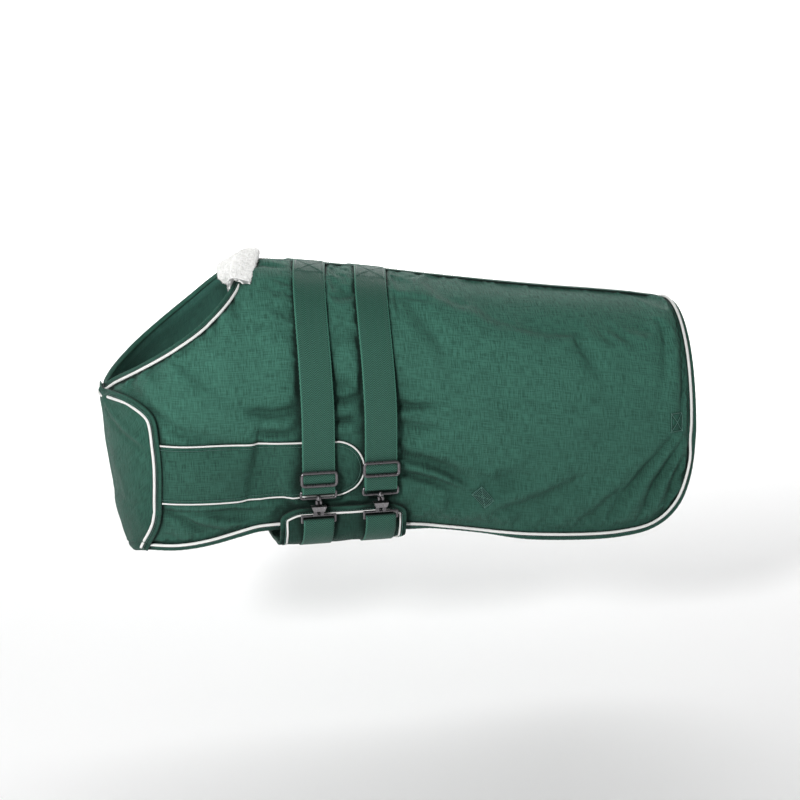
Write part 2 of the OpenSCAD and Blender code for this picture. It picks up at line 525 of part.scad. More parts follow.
outer_shell(-1);  // near_outer_shell
fill_layer(-1);  // near_fill
lining_layer(-1);  // near_lining
outer_shell(1);  // off_outer_shell
fill_layer(1);  // off_fill
lining_layer(1);  // off_lining
spine_tape();
neck_binding();
neck_piping();
edge_binding(-1);  // near_edge_binding
edge_piping(-1);  // near_edge_piping
edge_binding(1);  // off_edge_binding
edge_piping(1);  // off_edge_piping
chest_panel_shell();
chest_panel_binding();
chest_panel_piping();
chest_tab();
chest_tab_piping();
tab_hook_patch();
tab_loop_patch();
wither_fleece();
surcingle(front_x, front_slider_z);  // front_surcingle
surcingle(rear_x, rear_slider_z);  // rear_surcingle
slider(front_x, front_slider_z);  // front_slider
slider(rear_x, rear_slider_z);  // rear_slider
slider_webbing(front_x, front_slider_z);  // front_slider_webbing
slider_webbing(rear_x, rear_slider_z);  // rear_slider_webbing
hook_loop(front_x);  // front_hook_loop
hook_loop(rear_x);  // rear_hook_loop
hook_stem(front_x);  // front_hook_stem
hook_stem(rear_x);  // rear_hook_stem
hook_eye(front_x);  // front_hook_eye
hook_eye(rear_x);  // rear_hook_eye
belly_flap_shell();
belly_flap_fill();
belly_flap_lining();
belly_flap_binding();
belly_flap_piping();
flap_anchor_tape();
belly_webbing(front_x);  // front_belly_webbing
belly_webbing(rear_x);  // rear_belly_webbing
d_ring(RING_PLACES[0], -1);  // near_stifle_ring
d_ring(RING_PLACES[1], -1);  // near_rear_ring
d_ring(RING_PLACES[0], 1);  // off_stifle_ring
d_ring(RING_PLACES[1], 1);  // off_rear_ring
ring_keepers();
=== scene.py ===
"""Padded turnout rug for a foal or very small pony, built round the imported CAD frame.

+X runs to the tail, -Y is the near side and +Z is up. All sizes are in metres.
"""
import json
import math

import bmesh
import bpy
import numpy as np
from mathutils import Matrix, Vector, noise

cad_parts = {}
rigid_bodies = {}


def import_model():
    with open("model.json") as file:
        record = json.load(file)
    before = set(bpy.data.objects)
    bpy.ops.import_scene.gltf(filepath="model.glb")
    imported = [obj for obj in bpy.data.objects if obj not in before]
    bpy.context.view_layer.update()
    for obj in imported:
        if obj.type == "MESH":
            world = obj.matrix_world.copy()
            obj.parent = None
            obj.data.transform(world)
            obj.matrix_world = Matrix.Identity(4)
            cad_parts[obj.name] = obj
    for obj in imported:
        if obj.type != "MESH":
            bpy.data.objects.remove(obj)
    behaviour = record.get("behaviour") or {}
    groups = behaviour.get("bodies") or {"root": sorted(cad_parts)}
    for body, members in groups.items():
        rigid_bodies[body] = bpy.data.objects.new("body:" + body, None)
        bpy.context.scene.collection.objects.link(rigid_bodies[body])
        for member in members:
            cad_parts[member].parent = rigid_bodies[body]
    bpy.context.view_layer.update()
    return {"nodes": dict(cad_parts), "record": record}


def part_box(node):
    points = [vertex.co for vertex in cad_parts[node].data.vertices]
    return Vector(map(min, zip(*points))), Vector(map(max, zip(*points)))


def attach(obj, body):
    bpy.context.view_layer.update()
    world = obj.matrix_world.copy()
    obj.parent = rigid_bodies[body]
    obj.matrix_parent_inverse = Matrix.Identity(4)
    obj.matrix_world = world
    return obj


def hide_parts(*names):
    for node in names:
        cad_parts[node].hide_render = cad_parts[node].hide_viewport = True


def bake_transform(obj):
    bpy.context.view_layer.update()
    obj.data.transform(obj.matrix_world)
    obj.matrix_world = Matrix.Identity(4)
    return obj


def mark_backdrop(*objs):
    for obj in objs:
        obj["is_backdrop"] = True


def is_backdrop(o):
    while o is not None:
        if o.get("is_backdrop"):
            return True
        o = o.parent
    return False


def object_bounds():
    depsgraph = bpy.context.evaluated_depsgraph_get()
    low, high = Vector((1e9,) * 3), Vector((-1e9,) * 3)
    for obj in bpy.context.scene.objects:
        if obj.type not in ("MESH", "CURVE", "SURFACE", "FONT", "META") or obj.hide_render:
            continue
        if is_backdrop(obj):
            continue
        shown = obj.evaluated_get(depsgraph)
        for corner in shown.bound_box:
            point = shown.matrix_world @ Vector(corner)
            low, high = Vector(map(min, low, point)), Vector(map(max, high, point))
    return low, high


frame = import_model()
MM = 0.001
NEAR, OFF = -1, 1
SIDE_NAMES = {NEAR: "near", OFF: "off"}


def linked(name, data):
    """A new object in the scene."""
    obj = bpy.data.objects.new(name, data)
    bpy.context.collection.objects.link(obj)
    return obj


# ---- Camera -----------------------------------------------------------------------------
LENS_MM, SENSOR_MM = 85, 36
VIEW_AZIMUTH, VIEW_ELEVATION = math.radians(-13), math.radians(14)
VIEW_TARGET = Vector((0, 0, -0.204))
VIEW_WIDTH = 1.28          # width of the picture at the target


def add_camera():
    """Long lens on the near side, a little towards the head and above the hem."""
    data = bpy.data.cameras.new("camera")
    data.lens, data.sensor_width = LENS_MM, SENSOR_MM
    camera = linked("camera", data)
    flat = math.cos(VIEW_ELEVATION)
    away = Vector((math.sin(VIEW_AZIMUTH) * flat, -math.cos(VIEW_AZIMUTH) * flat,
                   math.sin(VIEW_ELEVATION)))
    camera.location = VIEW_TARGET + away * (VIEW_WIDTH * LENS_MM / SENSOR_MM)
    camera.rotation_euler = (-away).to_track_quat("-Z", "Y").to_euler()
    bpy.context.scene.camera = camera


add_camera()

# ---- The rug's outer surface ------------------------------------------------------------
# The same cross lines as the frame: each runs from the neckline or spine down to the hem as
# one cubic curve. A row is its place along the rug and four points (x, half width, z), in mm.
NECK_ROWS = [
    (-564, (-466, 0, -150), (-466, 0, -225), (-455, 0, -320), (-429, 0, -405)),
    (-502, (-450, 34, -134), (-467, 62, -208), (-459, 72, -310), (-431, 62, -400)),
    (-440, (-413, 74, -107), (-438, 118, -182), (-434, 130, -290), (-416, 100, -390)),
    (-384, (-370, 97, -77), (-386, 148, -155), (-386, 166, -272), (-374, 120, -388)),
    (-328, (-325, 101, -43), (-330, 158, -122), (-330, 180, -252), (-328, 129, -381)),
    (-274, (-279, 72, 0), (-276, 146, -58), (-274, 182, -206), (-276, 134, -368))]
# (x, spine z, shoulder half width, flank half width, flank z, hem half width, hem z)
BODY_ROWS = [
    (-248, 35, 112, 190, -140, 135, -362), (-150, 26, 116, 194, -148, 138, -362),
    (-50, 13, 118, 195, -154, 140, -370), (50, -2, 118, 194, -166, 142, -384),
    (150, -16, 118, 193, -180, 145, -400), (250, -29, 117, 191, -188, 146, -409),
    (330, -38, 113, 185, -194, 143, -410), (390, -46, 106, 176, -190, 137, -399),
    (428, -53, 94, 157, -178, 137, -364), (446, -58, 82, 139, -157, 135, -312),
    (453, -61, 69, 119, -133, 130, -250)]
ROWS = NECK_ROWS + [(x, (x, 0, top), (x, a, top), (x, b, bz), (x, h, hz))
                    for x, top, a, b, bz, h, hz in BODY_ROWS]
PLACE = np.array([row[0] for row in ROWS]) * MM
POINT = np.array([row[1:] for row in ROWS], float) * MM
WITHERS = len(NECK_ROWS)
CHEST_S, SHOULDER_S, WITHERS_S, REAR_S = PLACE[0], PLACE[WITHERS - 1], PLACE[WITHERS], PLACE[-1]


def slopes(place, point):
    """Change of a control point per metre at each row."""
    rate = np.zeros_like(point)
    rate[1:-1] = (point[2:] - point[:-2]) / (place[2:] - place[:-2])[:, None]
    rate[0] = (point[1] - point[0]) / (place[1] - place[0])
    rate[-1] = (point[-1] - point[-2]) / (place[-1] - place[-2])
    if place[-1] == REAR_S:      # the rear goes on turning in
        rate[-1] = 2 * rate[-1] - rate[-2]
    if place[0] == CHEST_S:      # the chest line is met squarely
        rate[0] *= (0, 1, 0)
    return rate


def cubic(place, point, rate, s):
    """A cubic through points with these slopes, at each place in s."""
    i = np.clip(np.searchsorted(place, s, side="right") - 1, 0, len(place) - 2)
    d = (place[i + 1] - place[i])[..., None]
    t = (s - place[i])[..., None] / d
    return ((2 * t**3 - 3 * t**2 + 1) * point[i] + (t**3 - 2 * t**2 + t) * rate[i] * d
            + (3 * t**2 - 2 * t**3) * point[i + 1] + (t**3 - t**2) * rate[i + 1] * d)


def through(place, point, s):
    """A cubic through the rows, at each place in s."""
    return cubic(place, point, slopes(place, point), s)


def ease(a, b, x):
    """Smooth step from 0 at a to 1 at b."""
    t = np.clip((x - a) / (b - a), 0, 1)
    return t * t * (3 - 2 * t)


TUCK = 0.019               # how far the hem curls under behind the girth


def hem_tuck(s, v):
    """How far the cloth leans in towards the animal, low down behind the belly flap."""
    return TUCK * ease(-0.03, 0.03, s) * (1 - ease(0.1, 0.18, s)) * np.clip((v - 0.925) / 0.075, 0, 1) ** 2


def surface(s, v):
    """Point at place s along the rug and v down it, on the off side."""
    s, v = np.broadcast_arrays(np.asarray(s, float), np.asarray(v, float))
    neck = through(PLACE[:WITHERS + 1], POINT[:WITHERS + 1, 0], np.minimum(s, WITHERS_S))
    spine = through(PLACE[WITHERS:], POINT[WITHERS:, 0], np.maximum(s, WITHERS_S))
    top = np.where((s < WITHERS_S)[..., None], neck, spine)
    a, b, c = (through(PLACE, POINT[:, k], s) for k in (1, 2, 3))
    tuck = hem_tuck(s, v)
    v = v[..., None]
    u = 1 - v
    p = u**3 * top + 3 * u * u * v * a + 3 * u * v * v * b + v**3 * c
    p[..., 1] -= tuck
    return p


def unit(a):
    return a / np.maximum(np.linalg.norm(a, axis=-1, keepdims=True), 1e-12)


def square_to(s, v):
    """Direction square to the surface."""
    s, v = np.asarray(s, float), np.asarray(v, float)
    here = surface(s, v)
    return unit(np.cross(surface(s + 0.0005, v) - here, surface(s, v + 0.002) - surface(s, v - 0.002)))


def outward(s, v):
    """Outward direction, eased before the withers, as in the frame."""
    s, v = np.broadcast_arrays(np.asarray(s, float), np.asarray(v, float))
    t = np.clip((s - SHOULDER_S) / (WITHERS_S - SHOULDER_S), 0, 1)[..., None]
    eased = unit((1 - t) * square_to(np.full_like(s, SHOULDER_S), v)
                 + t * square_to(np.full_like(s, WITHERS_S), v))
    return np.where((t > 0) & (t < 1), eased, square_to(s, v))


def mirrored(p, side):
    """The same point or direction on one side of the rug."""
    return p * np.array((1, side, 1))


def on_cloth(s, v, n, side):
    """Point n outside the surface on one side."""
    n = np.asarray(n, float)
    return mirrored(surface(s, v) + n[..., None] * outward(s, v), side)


def down_at(s, z):
    """How far down the cross line at s the height z lies."""
    s, z = np.broadcast_arrays(np.asarray(s, float), np.asarray(z, float))
    low, high = np.zeros_like(s), np.ones_like(s)
    for _ in range(24):
        mid = (low + high) / 2
        above = surface(s, mid)[..., 2] > z
        low, high = np.where(above, mid, low), np.where(above, high, mid)
    return (low + high) / 2


# ---- Mesh helpers -----------------------------------------------------------------------
def new_object(name, verts, faces, material, uv=None, smooth=True):
    """A mesh piece whose faces all look outwards."""
    mesh = bpy.data.meshes.new(name)
    mesh.from_pydata(np.asarray(verts, float).reshape(-1, 3).tolist(), [], faces)
    if uv is not None:
        layer = mesh.uv_layers.new(name="cloth")
        index = np.empty(len(mesh.loops), int)
        mesh.loops.foreach_get("vertex_index", index)
        layer.data.foreach_set("uv", np.asarray(uv, float)[index].ravel())
    mesh.materials.append(material)
    mesh.update()
    obj = linked(name, mesh)
    fix = bmesh.new()
    fix.from_mesh(mesh)
    bmesh.ops.recalc_face_normals(fix, faces=fix.faces)
    fix.to_mesh(mesh)
    fix.free()
    mesh.polygons.foreach_set("use_smooth", [smooth] * len(mesh.polygons))
    return obj


def grid_uv(points):
    """Distance across and down a grid of points, in metres."""
    across = np.linalg.norm(np.diff(points, axis=0), axis=2)
    down = np.linalg.norm(np.diff(points, axis=1), axis=2)
    u = np.vstack([np.zeros(points.shape[1]), np.cumsum(across, 0)])
    v = np.hstack([np.zeros((points.shape[0], 1)), np.cumsum(down, 1)])
    middle = u[:, points.shape[1] // 2][:, None] * np.ones((1, points.shape[1]))
    return np.stack([middle, v], -1)


def quads(rows, cols, wrap=False):
    """Faces between the points of a grid, closed round it if it wraps."""
    index = np.arange(rows * cols).reshape(rows, cols)
    if wrap:
        index = np.hstack([index, index[:, :1]])
    return np.stack([index[:-1, :-1], index[1:, :-1], index[1:, 1:], index[:-1, 1:]], -1).reshape(-1, 4)


def slab(name, outer, inner, material, uv=None):
    """Closed cloth between two grids of points."""
    rows, cols = outer.shape[:2]
    below = rows * cols
    top = quads(rows, cols)
    index = np.arange(below).reshape(rows, cols)
    rim = np.concatenate([index[0], index[1:, -1], index[-1, -2::-1], index[-2:0:-1, 0]])
    after = np.roll(rim, -1)
    edge = np.stack([rim, rim + below, after + below, after], -1)
    faces = np.concatenate([top, top[:, ::-1] + below, edge]).tolist()
    uv = grid_uv(outer) if uv is None else uv
    flat = uv.reshape(-1, 2)
    return new_object(name, np.concatenate([outer.reshape(-1, 3), inner.reshape(-1, 3)]), faces,
                      material, np.concatenate([flat, flat]))


def strip_uv(across, along):
    """Places across and along a strip, for each point of each of its rings."""
    return np.stack(np.broadcast_arrays(across[None, :], along[:, None]), -1)


def tube(name, rings, material, closed=False, uv=None):
    """Solid through rings of points, capped at both ends unless it closes on itself."""
    rings = np.asarray(rings, float)
    rows, cols = rings.shape[:2]
    faces = quads(rows, cols, wrap=True).tolist()
    if closed:
        last, first = (rows - 1) * cols, 0
        faces += [[last + k, first + k, first + (k + 1) % cols, last + (k + 1) % cols] for k in range(cols)]
    else:
        faces += [list(range(cols)), list(range(rows * cols - 1, (rows - 1) * cols - 1, -1))]
    if uv is None:
        uv = strip_uv(run_length(rings[0]), run_length(rings.mean(1)))
    return new_object(name, rings.reshape(-1, 3), faces, material, uv.reshape(-1, 2))


def joined(name, objects):
    """One object from several."""
    with bpy.context.temp_override(active_object=objects[0], selected_editable_objects=objects,
                                   object=objects[0], selected_objects=objects):
        bpy.ops.object.join()
    objects[0].name = objects[0].data.name = name
    return objects[0]


def run_length(path):
    """Distance along a path to each of its points."""
    return np.concatenate([[0], np.cumsum(np.linalg.norm(np.diff(path, axis=0), axis=1))])


def directions(path):
    """Direction of travel at each point of a path."""
    ahead = np.roll(path, -1, 0) - path
    behind = path - np.roll(path, 1, 0)
    ahead[-1], behind[0] = behind[-1], ahead[0]
    return unit(ahead + behind)


def framed(path, across, out, profile):
    """Rings of a flat shape (across, outwards) set at each point of a path."""
    return path[:, None] + profile[None, :, :1] * across[:, None] + profile[None, :, 1:] * out[:, None]


def swept(path, normal, side, profile):
    """Rings of a flat shape (away from the cloth, outwards) carried along its edge."""
    away = -side * unit(np.cross(directions(path), normal))
    return framed(path, away, normal, np.asarray(profile, float))


def circle(radius, count, centre=(0, 0)):
    """Points round a circle, as a flat shape."""
    turn = np.arange(count) * 2 * math.pi / count
    return np.stack([np.cos(turn), np.sin(turn)], -1) * radius + np.asarray(centre)


def evenly(path, step):
    """The path's points respaced to an even step."""
    path = np.asarray(path, float)
    along = run_length(path)
    places = np.linspace(0, along[-1], max(int(round(along[-1] / step)), 1) + 1)
    return np.stack([np.interp(places, along, path[:, k]) for k in range(path.shape[1])], -1)


def respaced(path, normal, step):
    """A path and its outward directions at an even step."""
    both = evenly(np.hstack([path, normal]), step)
    return both[:, :3], unit(both[:, 3:])


def smooth_line(points, count):
    """A curve through a few given points."""
    points = np.asarray(points, float)
    place = run_length(points)
    return cubic(place, points, np.gradient(points, place, axis=0), np.linspace(0, place[-1], count))


# ---- Materials --------------------------------------------------------------------------
class Nodes:
    """A material's shader tree, with a call for each kind of node used here."""

    def __init__(self, name, roughness, sheen=0.0, metallic=0.0, specular=0.5):
        self.material = bpy.data.materials.new(name)
        self.material.use_nodes = True
        self.tree = self.material.node_tree
        self.shader = self.tree.nodes["Principled BSDF"]
        self.set("Roughness", roughness)
        self.set("Metallic", metallic)
        self.set("Specular IOR Level", specular)
        self.set("Sheen Weight", sheen)
        self.set("Sheen Roughness", 0.4)

    def set(self, socket, value):
        if isinstance(value, bpy.types.NodeSocket):
            self.tree.links.new(value, self.shader.inputs[socket])
        else:
            self.shader.inputs[socket].default_value = value

    def node(self, kind, inputs=(), output=0, **settings):
        node = self.tree.nodes.new(kind)
        for key, value in settings.items():
            setattr(node, key, value)
        for key, value in dict(inputs).items():
            if isinstance(value, bpy.types.NodeSocket):
                self.tree.links.new(value, node.inputs[key])
            else:
                node.inputs[key].default_value = value
        return node.outputs[output]

    def math(self, operation, a, b=0.0):
        return self.node("ShaderNodeMath", {0: a, 1: b}, operation=operation)

    def coordinates(self, kind="UV"):
        return self.node("ShaderNodeTexCoord", output=kind)

    def split(self, vector):
        node = self.tree.nodes.new("ShaderNodeSeparateXYZ")
        self.tree.links.new(vector, node.inputs[0])
        return node.outputs

    def stretched(self, vector, scale):
        return self.node("ShaderNodeMapping", {"Vector": vector, "Scale": scale})

    def noise(self, vector, scale=1.0, detail=2.0, roughness=0.5):
        return self.node("ShaderNodeTexNoise", {"Vector": vector, "Scale": scale, "Detail": detail,
                                                "Roughness": roughness}, output=0)

    def ramp(self, value, low, high, to_low=0.0, to_high=1.0):
        return self.node("ShaderNodeMapRange", {"Value": value, "From Min": low, "From Max": high,
                                                "To Min": to_low, "To Max": to_high})

    def mix(self, share, a, b, blend_type="MIX"):
        return self.node("ShaderNodeMix", {0: share, 6: a, 7: b}, output=2, data_type="RGBA",
                         blend_type=blend_type)

    def hollows(self, colour, reach=0.045, depth=0.9):
        """Painted shade: darker where the surface is enclosed, in folds, seams and hollows."""
        open_share = self.node("ShaderNodeAmbientOcclusion", {"Distance": reach}, output=1, samples=8)
        return self.mix(self.ramp(open_share, 0.58, 0.97, depth, 0.0), colour, (0.004, 0.012, 0.009, 1.0))

    def soiled(self, colour, depth):
        """Painted shade: the cloth darkens towards the hem, in soft patches."""
        height = self.split(self.coordinates("Object"))[2]
        patches = self.noise(self.coordinates("Object"), 7.0, 3)
        patchy = self.math("ADD", height, self.math("MULTIPLY", patches, 0.08))
        share = self.ramp(patchy, -0.33, -0.06, depth, 0.0)
        return self.mix(share, colour, (0.01, 0.032, 0.024, 1.0))

    def bump(self, height, distance, strength=1.0, normal=None):
        inputs = {"Height": height, "Distance": distance, "Strength": strength}
        if normal is not None:
            inputs["Normal"] = normal
        return self.node("ShaderNodeBump", inputs)

    def finish(self, colour, normal=None, roughness=None):
        self.set("Base Color", colour)
        if normal is not None:
            self.set("Normal", normal)
        if roughness is not None:
            self.set("Roughness", roughness)
        return self.material


def rgba(colour):
    return (*colour, 1.0)


def shade(colour, factor):
    return rgba([min(c * factor, 1.0) for c in colour])


def sine_weave(n, across, down, thread):
    """Over-and-under height of a plain weave with that thread spacing."""
    turns = 2 * math.pi / thread
    a = n.math("SINE", n.math("MULTIPLY", across, turns))
    b = n.math("SINE", n.math("MULTIPLY", down, turns))
    return n.math("MULTIPLY", a, b)


def woven_material(name, colour, thread, roughness=0.66, sheen=0.04, slub=1.0, depth=0.00022):
    """Plain-woven cloth: threads, slubs along the warp, faint creasing and worn high spots."""
    n = Nodes(name, roughness, sheen, specular=0.14)
    uv = n.coordinates()
    across, down, _ = n.split(uv)
    weave = sine_weave(n, across, down, thread)
    warp = n.noise(n.stretched(uv, (900, 55, 1)), 1.0, 3, 0.6)
    weft = n.noise(n.stretched(uv, (45, 700, 1)), 1.0, 2, 0.5)
    cloud = n.noise(n.coordinates("Object"), 9.0, 4, 0.55)
    creases = n.noise(n.coordinates("Object"), 38.0, 3, 0.6)
    streak = n.math("ADD", n.math("MULTIPLY", warp, 0.65), n.math("MULTIPLY", weft, 0.35))
    tone = n.mix(n.ramp(streak, 0.4, 0.56), shade(colour, 1 - 0.46 * slub), shade(colour, 1 + 0.3 * slub))
    tone = n.mix(n.ramp(cloud, 0.35, 0.65, 0.0, 0.3), tone, shade(colour, 0.84))
    tone = n.mix(n.ramp(weave, 0.2, 1.0, 0.0, 0.22), tone, shade(colour, 1.5))
    # Painted shade: darker in folds and seams, and darker towards the hem.
    tone = n.hollows(n.soiled(tone, 0.42))
    normal = n.bump(creases, 0.002, 0.4)
    normal = n.bump(streak, 0.0007, 0.5 * slub, normal)
    normal = n.bump(weave, depth, 0.8, normal)
    return n.finish(tone, normal, n.ramp(streak, 0.3, 0.7, roughness + 0.08, roughness - 0.08))


def webbing_material(name, colour, width):
    """Herringbone webbing: chevrons that turn every few millimetres, with plain selvedges drawn lighter,
    partly as a painted highlight.
    """
    n = Nodes(name, 0.6, 0.04, specular=0.25)
    across, down, _ = n.split(n.coordinates())
    folded = n.math("PINGPONG", across, 0.0058)
    chevron = n.math("SINE", n.math("MULTIPLY", n.math("ADD", down, folded), 2 * math.pi / 0.0034))
    rib = n.math("SINE", n.math("MULTIPLY", across, 2 * math.pi / 0.0011))
    selvedge = n.ramp(n.math("ABSOLUTE", n.math("SUBTRACT", across, width / 2)), width / 2 - 0.0022,
                      width / 2 - 0.0016)
    fuzz = n.noise(n.coordinates("Object"), 420.0, 2, 0.6)
    height = n.math("ADD", n.math("MULTIPLY", chevron, 0.7), n.math("MULTIPLY", rib, 0.3))
    tone = n.mix(n.ramp(height, -0.55, 0.6), shade(colour, 0.34), shade(colour, 1.75))
    # Lighter selvedges: partly the plain weave, partly a painted highlight along the strap's edges.
    tone = n.mix(n.math("MULTIPLY", selvedge, 0.8), tone, shade(colour, 2.3))
    tone = n.mix(n.ramp(fuzz, 0.35, 0.7, 0.0, 0.3), tone, shade(colour, 0.8))
    # Painted shade: darker in folds and seams, and darker towards the hem.
    tone = n.hollows(n.soiled(tone, 0.3), 0.015, 0.5)
    normal = n.bump(height, 0.00035, 0.9)
    return n.finish(tone, n.bump(fuzz, 0.0002, 0.4, normal), n.ramp(fuzz, 0.3, 0.7, 0.5, 0.66))


def cord_material(name, colour):
    """Piping: a cord under a bias-cut cover with a fine slanting thread."""
    n = Nodes(name, 0.6, 0.15, specular=0.4)
    around, along, _ = n.split(n.coordinates())
    slant = n.math("SINE", n.math("MULTIPLY", n.math("ADD", along, around), 2 * math.pi / 0.0016))
    soil = n.noise(n.coordinates("Object"), 30.0, 3, 0.6)
    tone = n.mix(n.ramp(slant, -1, 1, 0.0, 0.35), rgba(colour), shade(colour, 0.82))
    tone = n.mix(n.ramp(soil, 0.4, 0.75, 0.0, 0.25), tone, rgba((0.66, 0.7, 0.64)))
    return n.finish(tone, n.bump(slant, 0.0002, 0.7))


def fleece_material(name, colour):
    """Deep white pile: soft tufts that let a little light through, with a faint painted glow that lightens
    them.
    """
    n = Nodes(name, 0.9, 0.6, specular=0.2)
    where = n.coordinates("Object")
    tuft, fibre = n.noise(where, 210.0, 4, 0.7), n.noise(where, 900.0, 2, 0.6)
    tone = n.mix(n.ramp(tuft, 0.3, 0.6), shade(colour, 0.82), rgba(colour))
    normal = n.bump(tuft, 0.002, 0.7)
    n.set("Subsurface Weight", 0.15)
    n.set("Subsurface Radius", (0.004, 0.004, 0.004))
    # Painted light: a faint glow brightens the white pile.
    n.set("Emission Color", (1, 1, 1, 1))
    n.set("Emission Strength", 0.1)
    return n.finish(tone, n.bump(fibre, 0.0006, 0.6, normal))


def metal_material(name, colour):
    """Black nickel on pressed steel, scuffed to brighter metal on its high spots."""
    n = Nodes(name, 0.28, metallic=0.9)
    n.set("Coat Weight", 0.8)
    n.set("Coat Roughness", 0.14)
    where = n.coordinates("Object")
    grain = n.noise(n.stretched(where, (300, 60, 60)), 1.0, 3, 0.6)
    scuff = n.noise(where, 160.0, 5, 0.7)
    worn = n.ramp(n.node("ShaderNodeNewGeometry", output="Pointiness"), 0.52, 0.64, 0.0, 0.35)
    share = n.math("MAXIMUM", worn, n.ramp(scuff, 0.62, 0.74, 0.0, 0.4))
    tone = n.mix(share, shade(colour, 1.5), rgba((0.45, 0.43, 0.44)))
    return n.finish(tone, n.bump(scuff, 0.0001, 0.25), n.ramp(grain, 0.3, 0.7, 0.2, 0.42))


def thread_material(name, colour):
    """Twisted sewing thread."""
    n = Nodes(name, 0.5, 0.1)
    twist = n.noise(n.coordinates("Object"), 2500.0, 1, 0.5)
    tone = n.mix(n.ramp(twist, 0.35, 0.65), shade(colour, 0.6), shade(colour, 1.4))
    return n.finish(tone, n.bump(twist, 0.0001, 0.6))


def pile_material(name, colour):
    """Hook-and-loop tape and wadding: a dense matt pile."""
    n = Nodes(name, 0.92, 0.4, specular=0.2)
    pile = n.noise(n.coordinates("Object"), 1100.0, 3, 0.7)
    tone = n.mix(n.ramp(pile, 0.35, 0.65), shade(colour, 0.6), shade(colour, 1.3))
    return n.finish(tone, n.bump(pile, 0.0005, 0.8))


SLOTS = {m["slot"]: m["base_color"][:3] for m in frame["record"]["materials"]}
WEB_W = 0.050
OUTER = np.array(SLOTS["outer_fabric"]) * (0.72, 0.93, 0.83)
OXFORD = woven_material("oxford", OUTER, 0.0011)
PANEL_CLOTH = woven_material("oxford_panel", OUTER * 0.78, 0.0011)
# Painted shade: the flap's cloth is the outer cloth darkened, standing in for the shade under the belly.
SHADED_FLAP_CLOTH = woven_material("oxford_flap_shaded", OUTER * 0.42, 0.0011)
LINING = woven_material("taffeta", [c * 2.1 for c in SLOTS["lining_fabric"]], 0.0005, 0.42, 0.05, 0.6,
                        0.00006)
TAPE = woven_material("binding", np.array(SLOTS["binding_tape"]) * (0.7, 0.85, 0.78), 0.0008, 0.6, 0.04, 0.5)
WEB = webbing_material("webbing", np.array(SLOTS["webbing"]) * (0.53, 0.71, 0.63), WEB_W)
CORD = cord_material("piping", SLOTS["piping"])
FLEECE = fleece_material("fleece", SLOTS["fleece"])
METAL = metal_material("black_nickel", SLOTS["gunmetal_fittings"])
THREAD = thread_material("thread", [c * 1.25 for c in SLOTS["webbing"]])
WADDING = pile_material("wadding", SLOTS["fill_wadding"])
TOUCH_TAPE = pile_material("hook_and_loop", SLOTS["hook_and_loop"])


def place(obj, body, slot, *nodes):
    """Ride on a body and stand for CAD nodes, which are hidden; the slot is not used."""
    if body:
        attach(obj, body)
    if nodes:
        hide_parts(*nodes)
    return obj


def stitches(name, path, normal, body, length=0.0032, gap=0.0012, width=0.0006, lift=0.0001):
    """Rows of lock stitches: short rounded threads lying on the cloth."""
    pieces, faces = [], []
    step = length + gap
    for line, out in zip(path, normal):
        points, outs = respaced(line, out, step)
        along = directions(points)
        for p, d, o in zip(points[:-1], along, outs):
            across = np.cross(o, d)
            base = len(pieces)
            for t, w, h in ((0, 0.3, 0.0), (0.18, 1, 0.9), (0.5, 1, 1.2), (0.82, 1, 0.9), (1, 0.3, 0.0)):
                mid = p + d * length * t + o * (lift + width * 0.5 * h)
                for a, b in ((1, 0), (0, 1), (-1, 0), (0, -1)):
                    pieces.append(mid + across * a * w * width / 2 + o * b * w * width / 2)
            for r in range(4):
                for k in range(4):
                    faces.append([base + r * 4 + k, base + r * 4 + (k + 1) % 4,
                                  base + r * 4 + 4 + (k + 1) % 4, base + r * 4 + 4 + k])
            faces += [[base + 3, base + 2, base + 1, base], [base + 16, base + 17, base + 18, base + 19]]
    return place(new_object(name, pieces, faces, THREAD), body, "webbing")


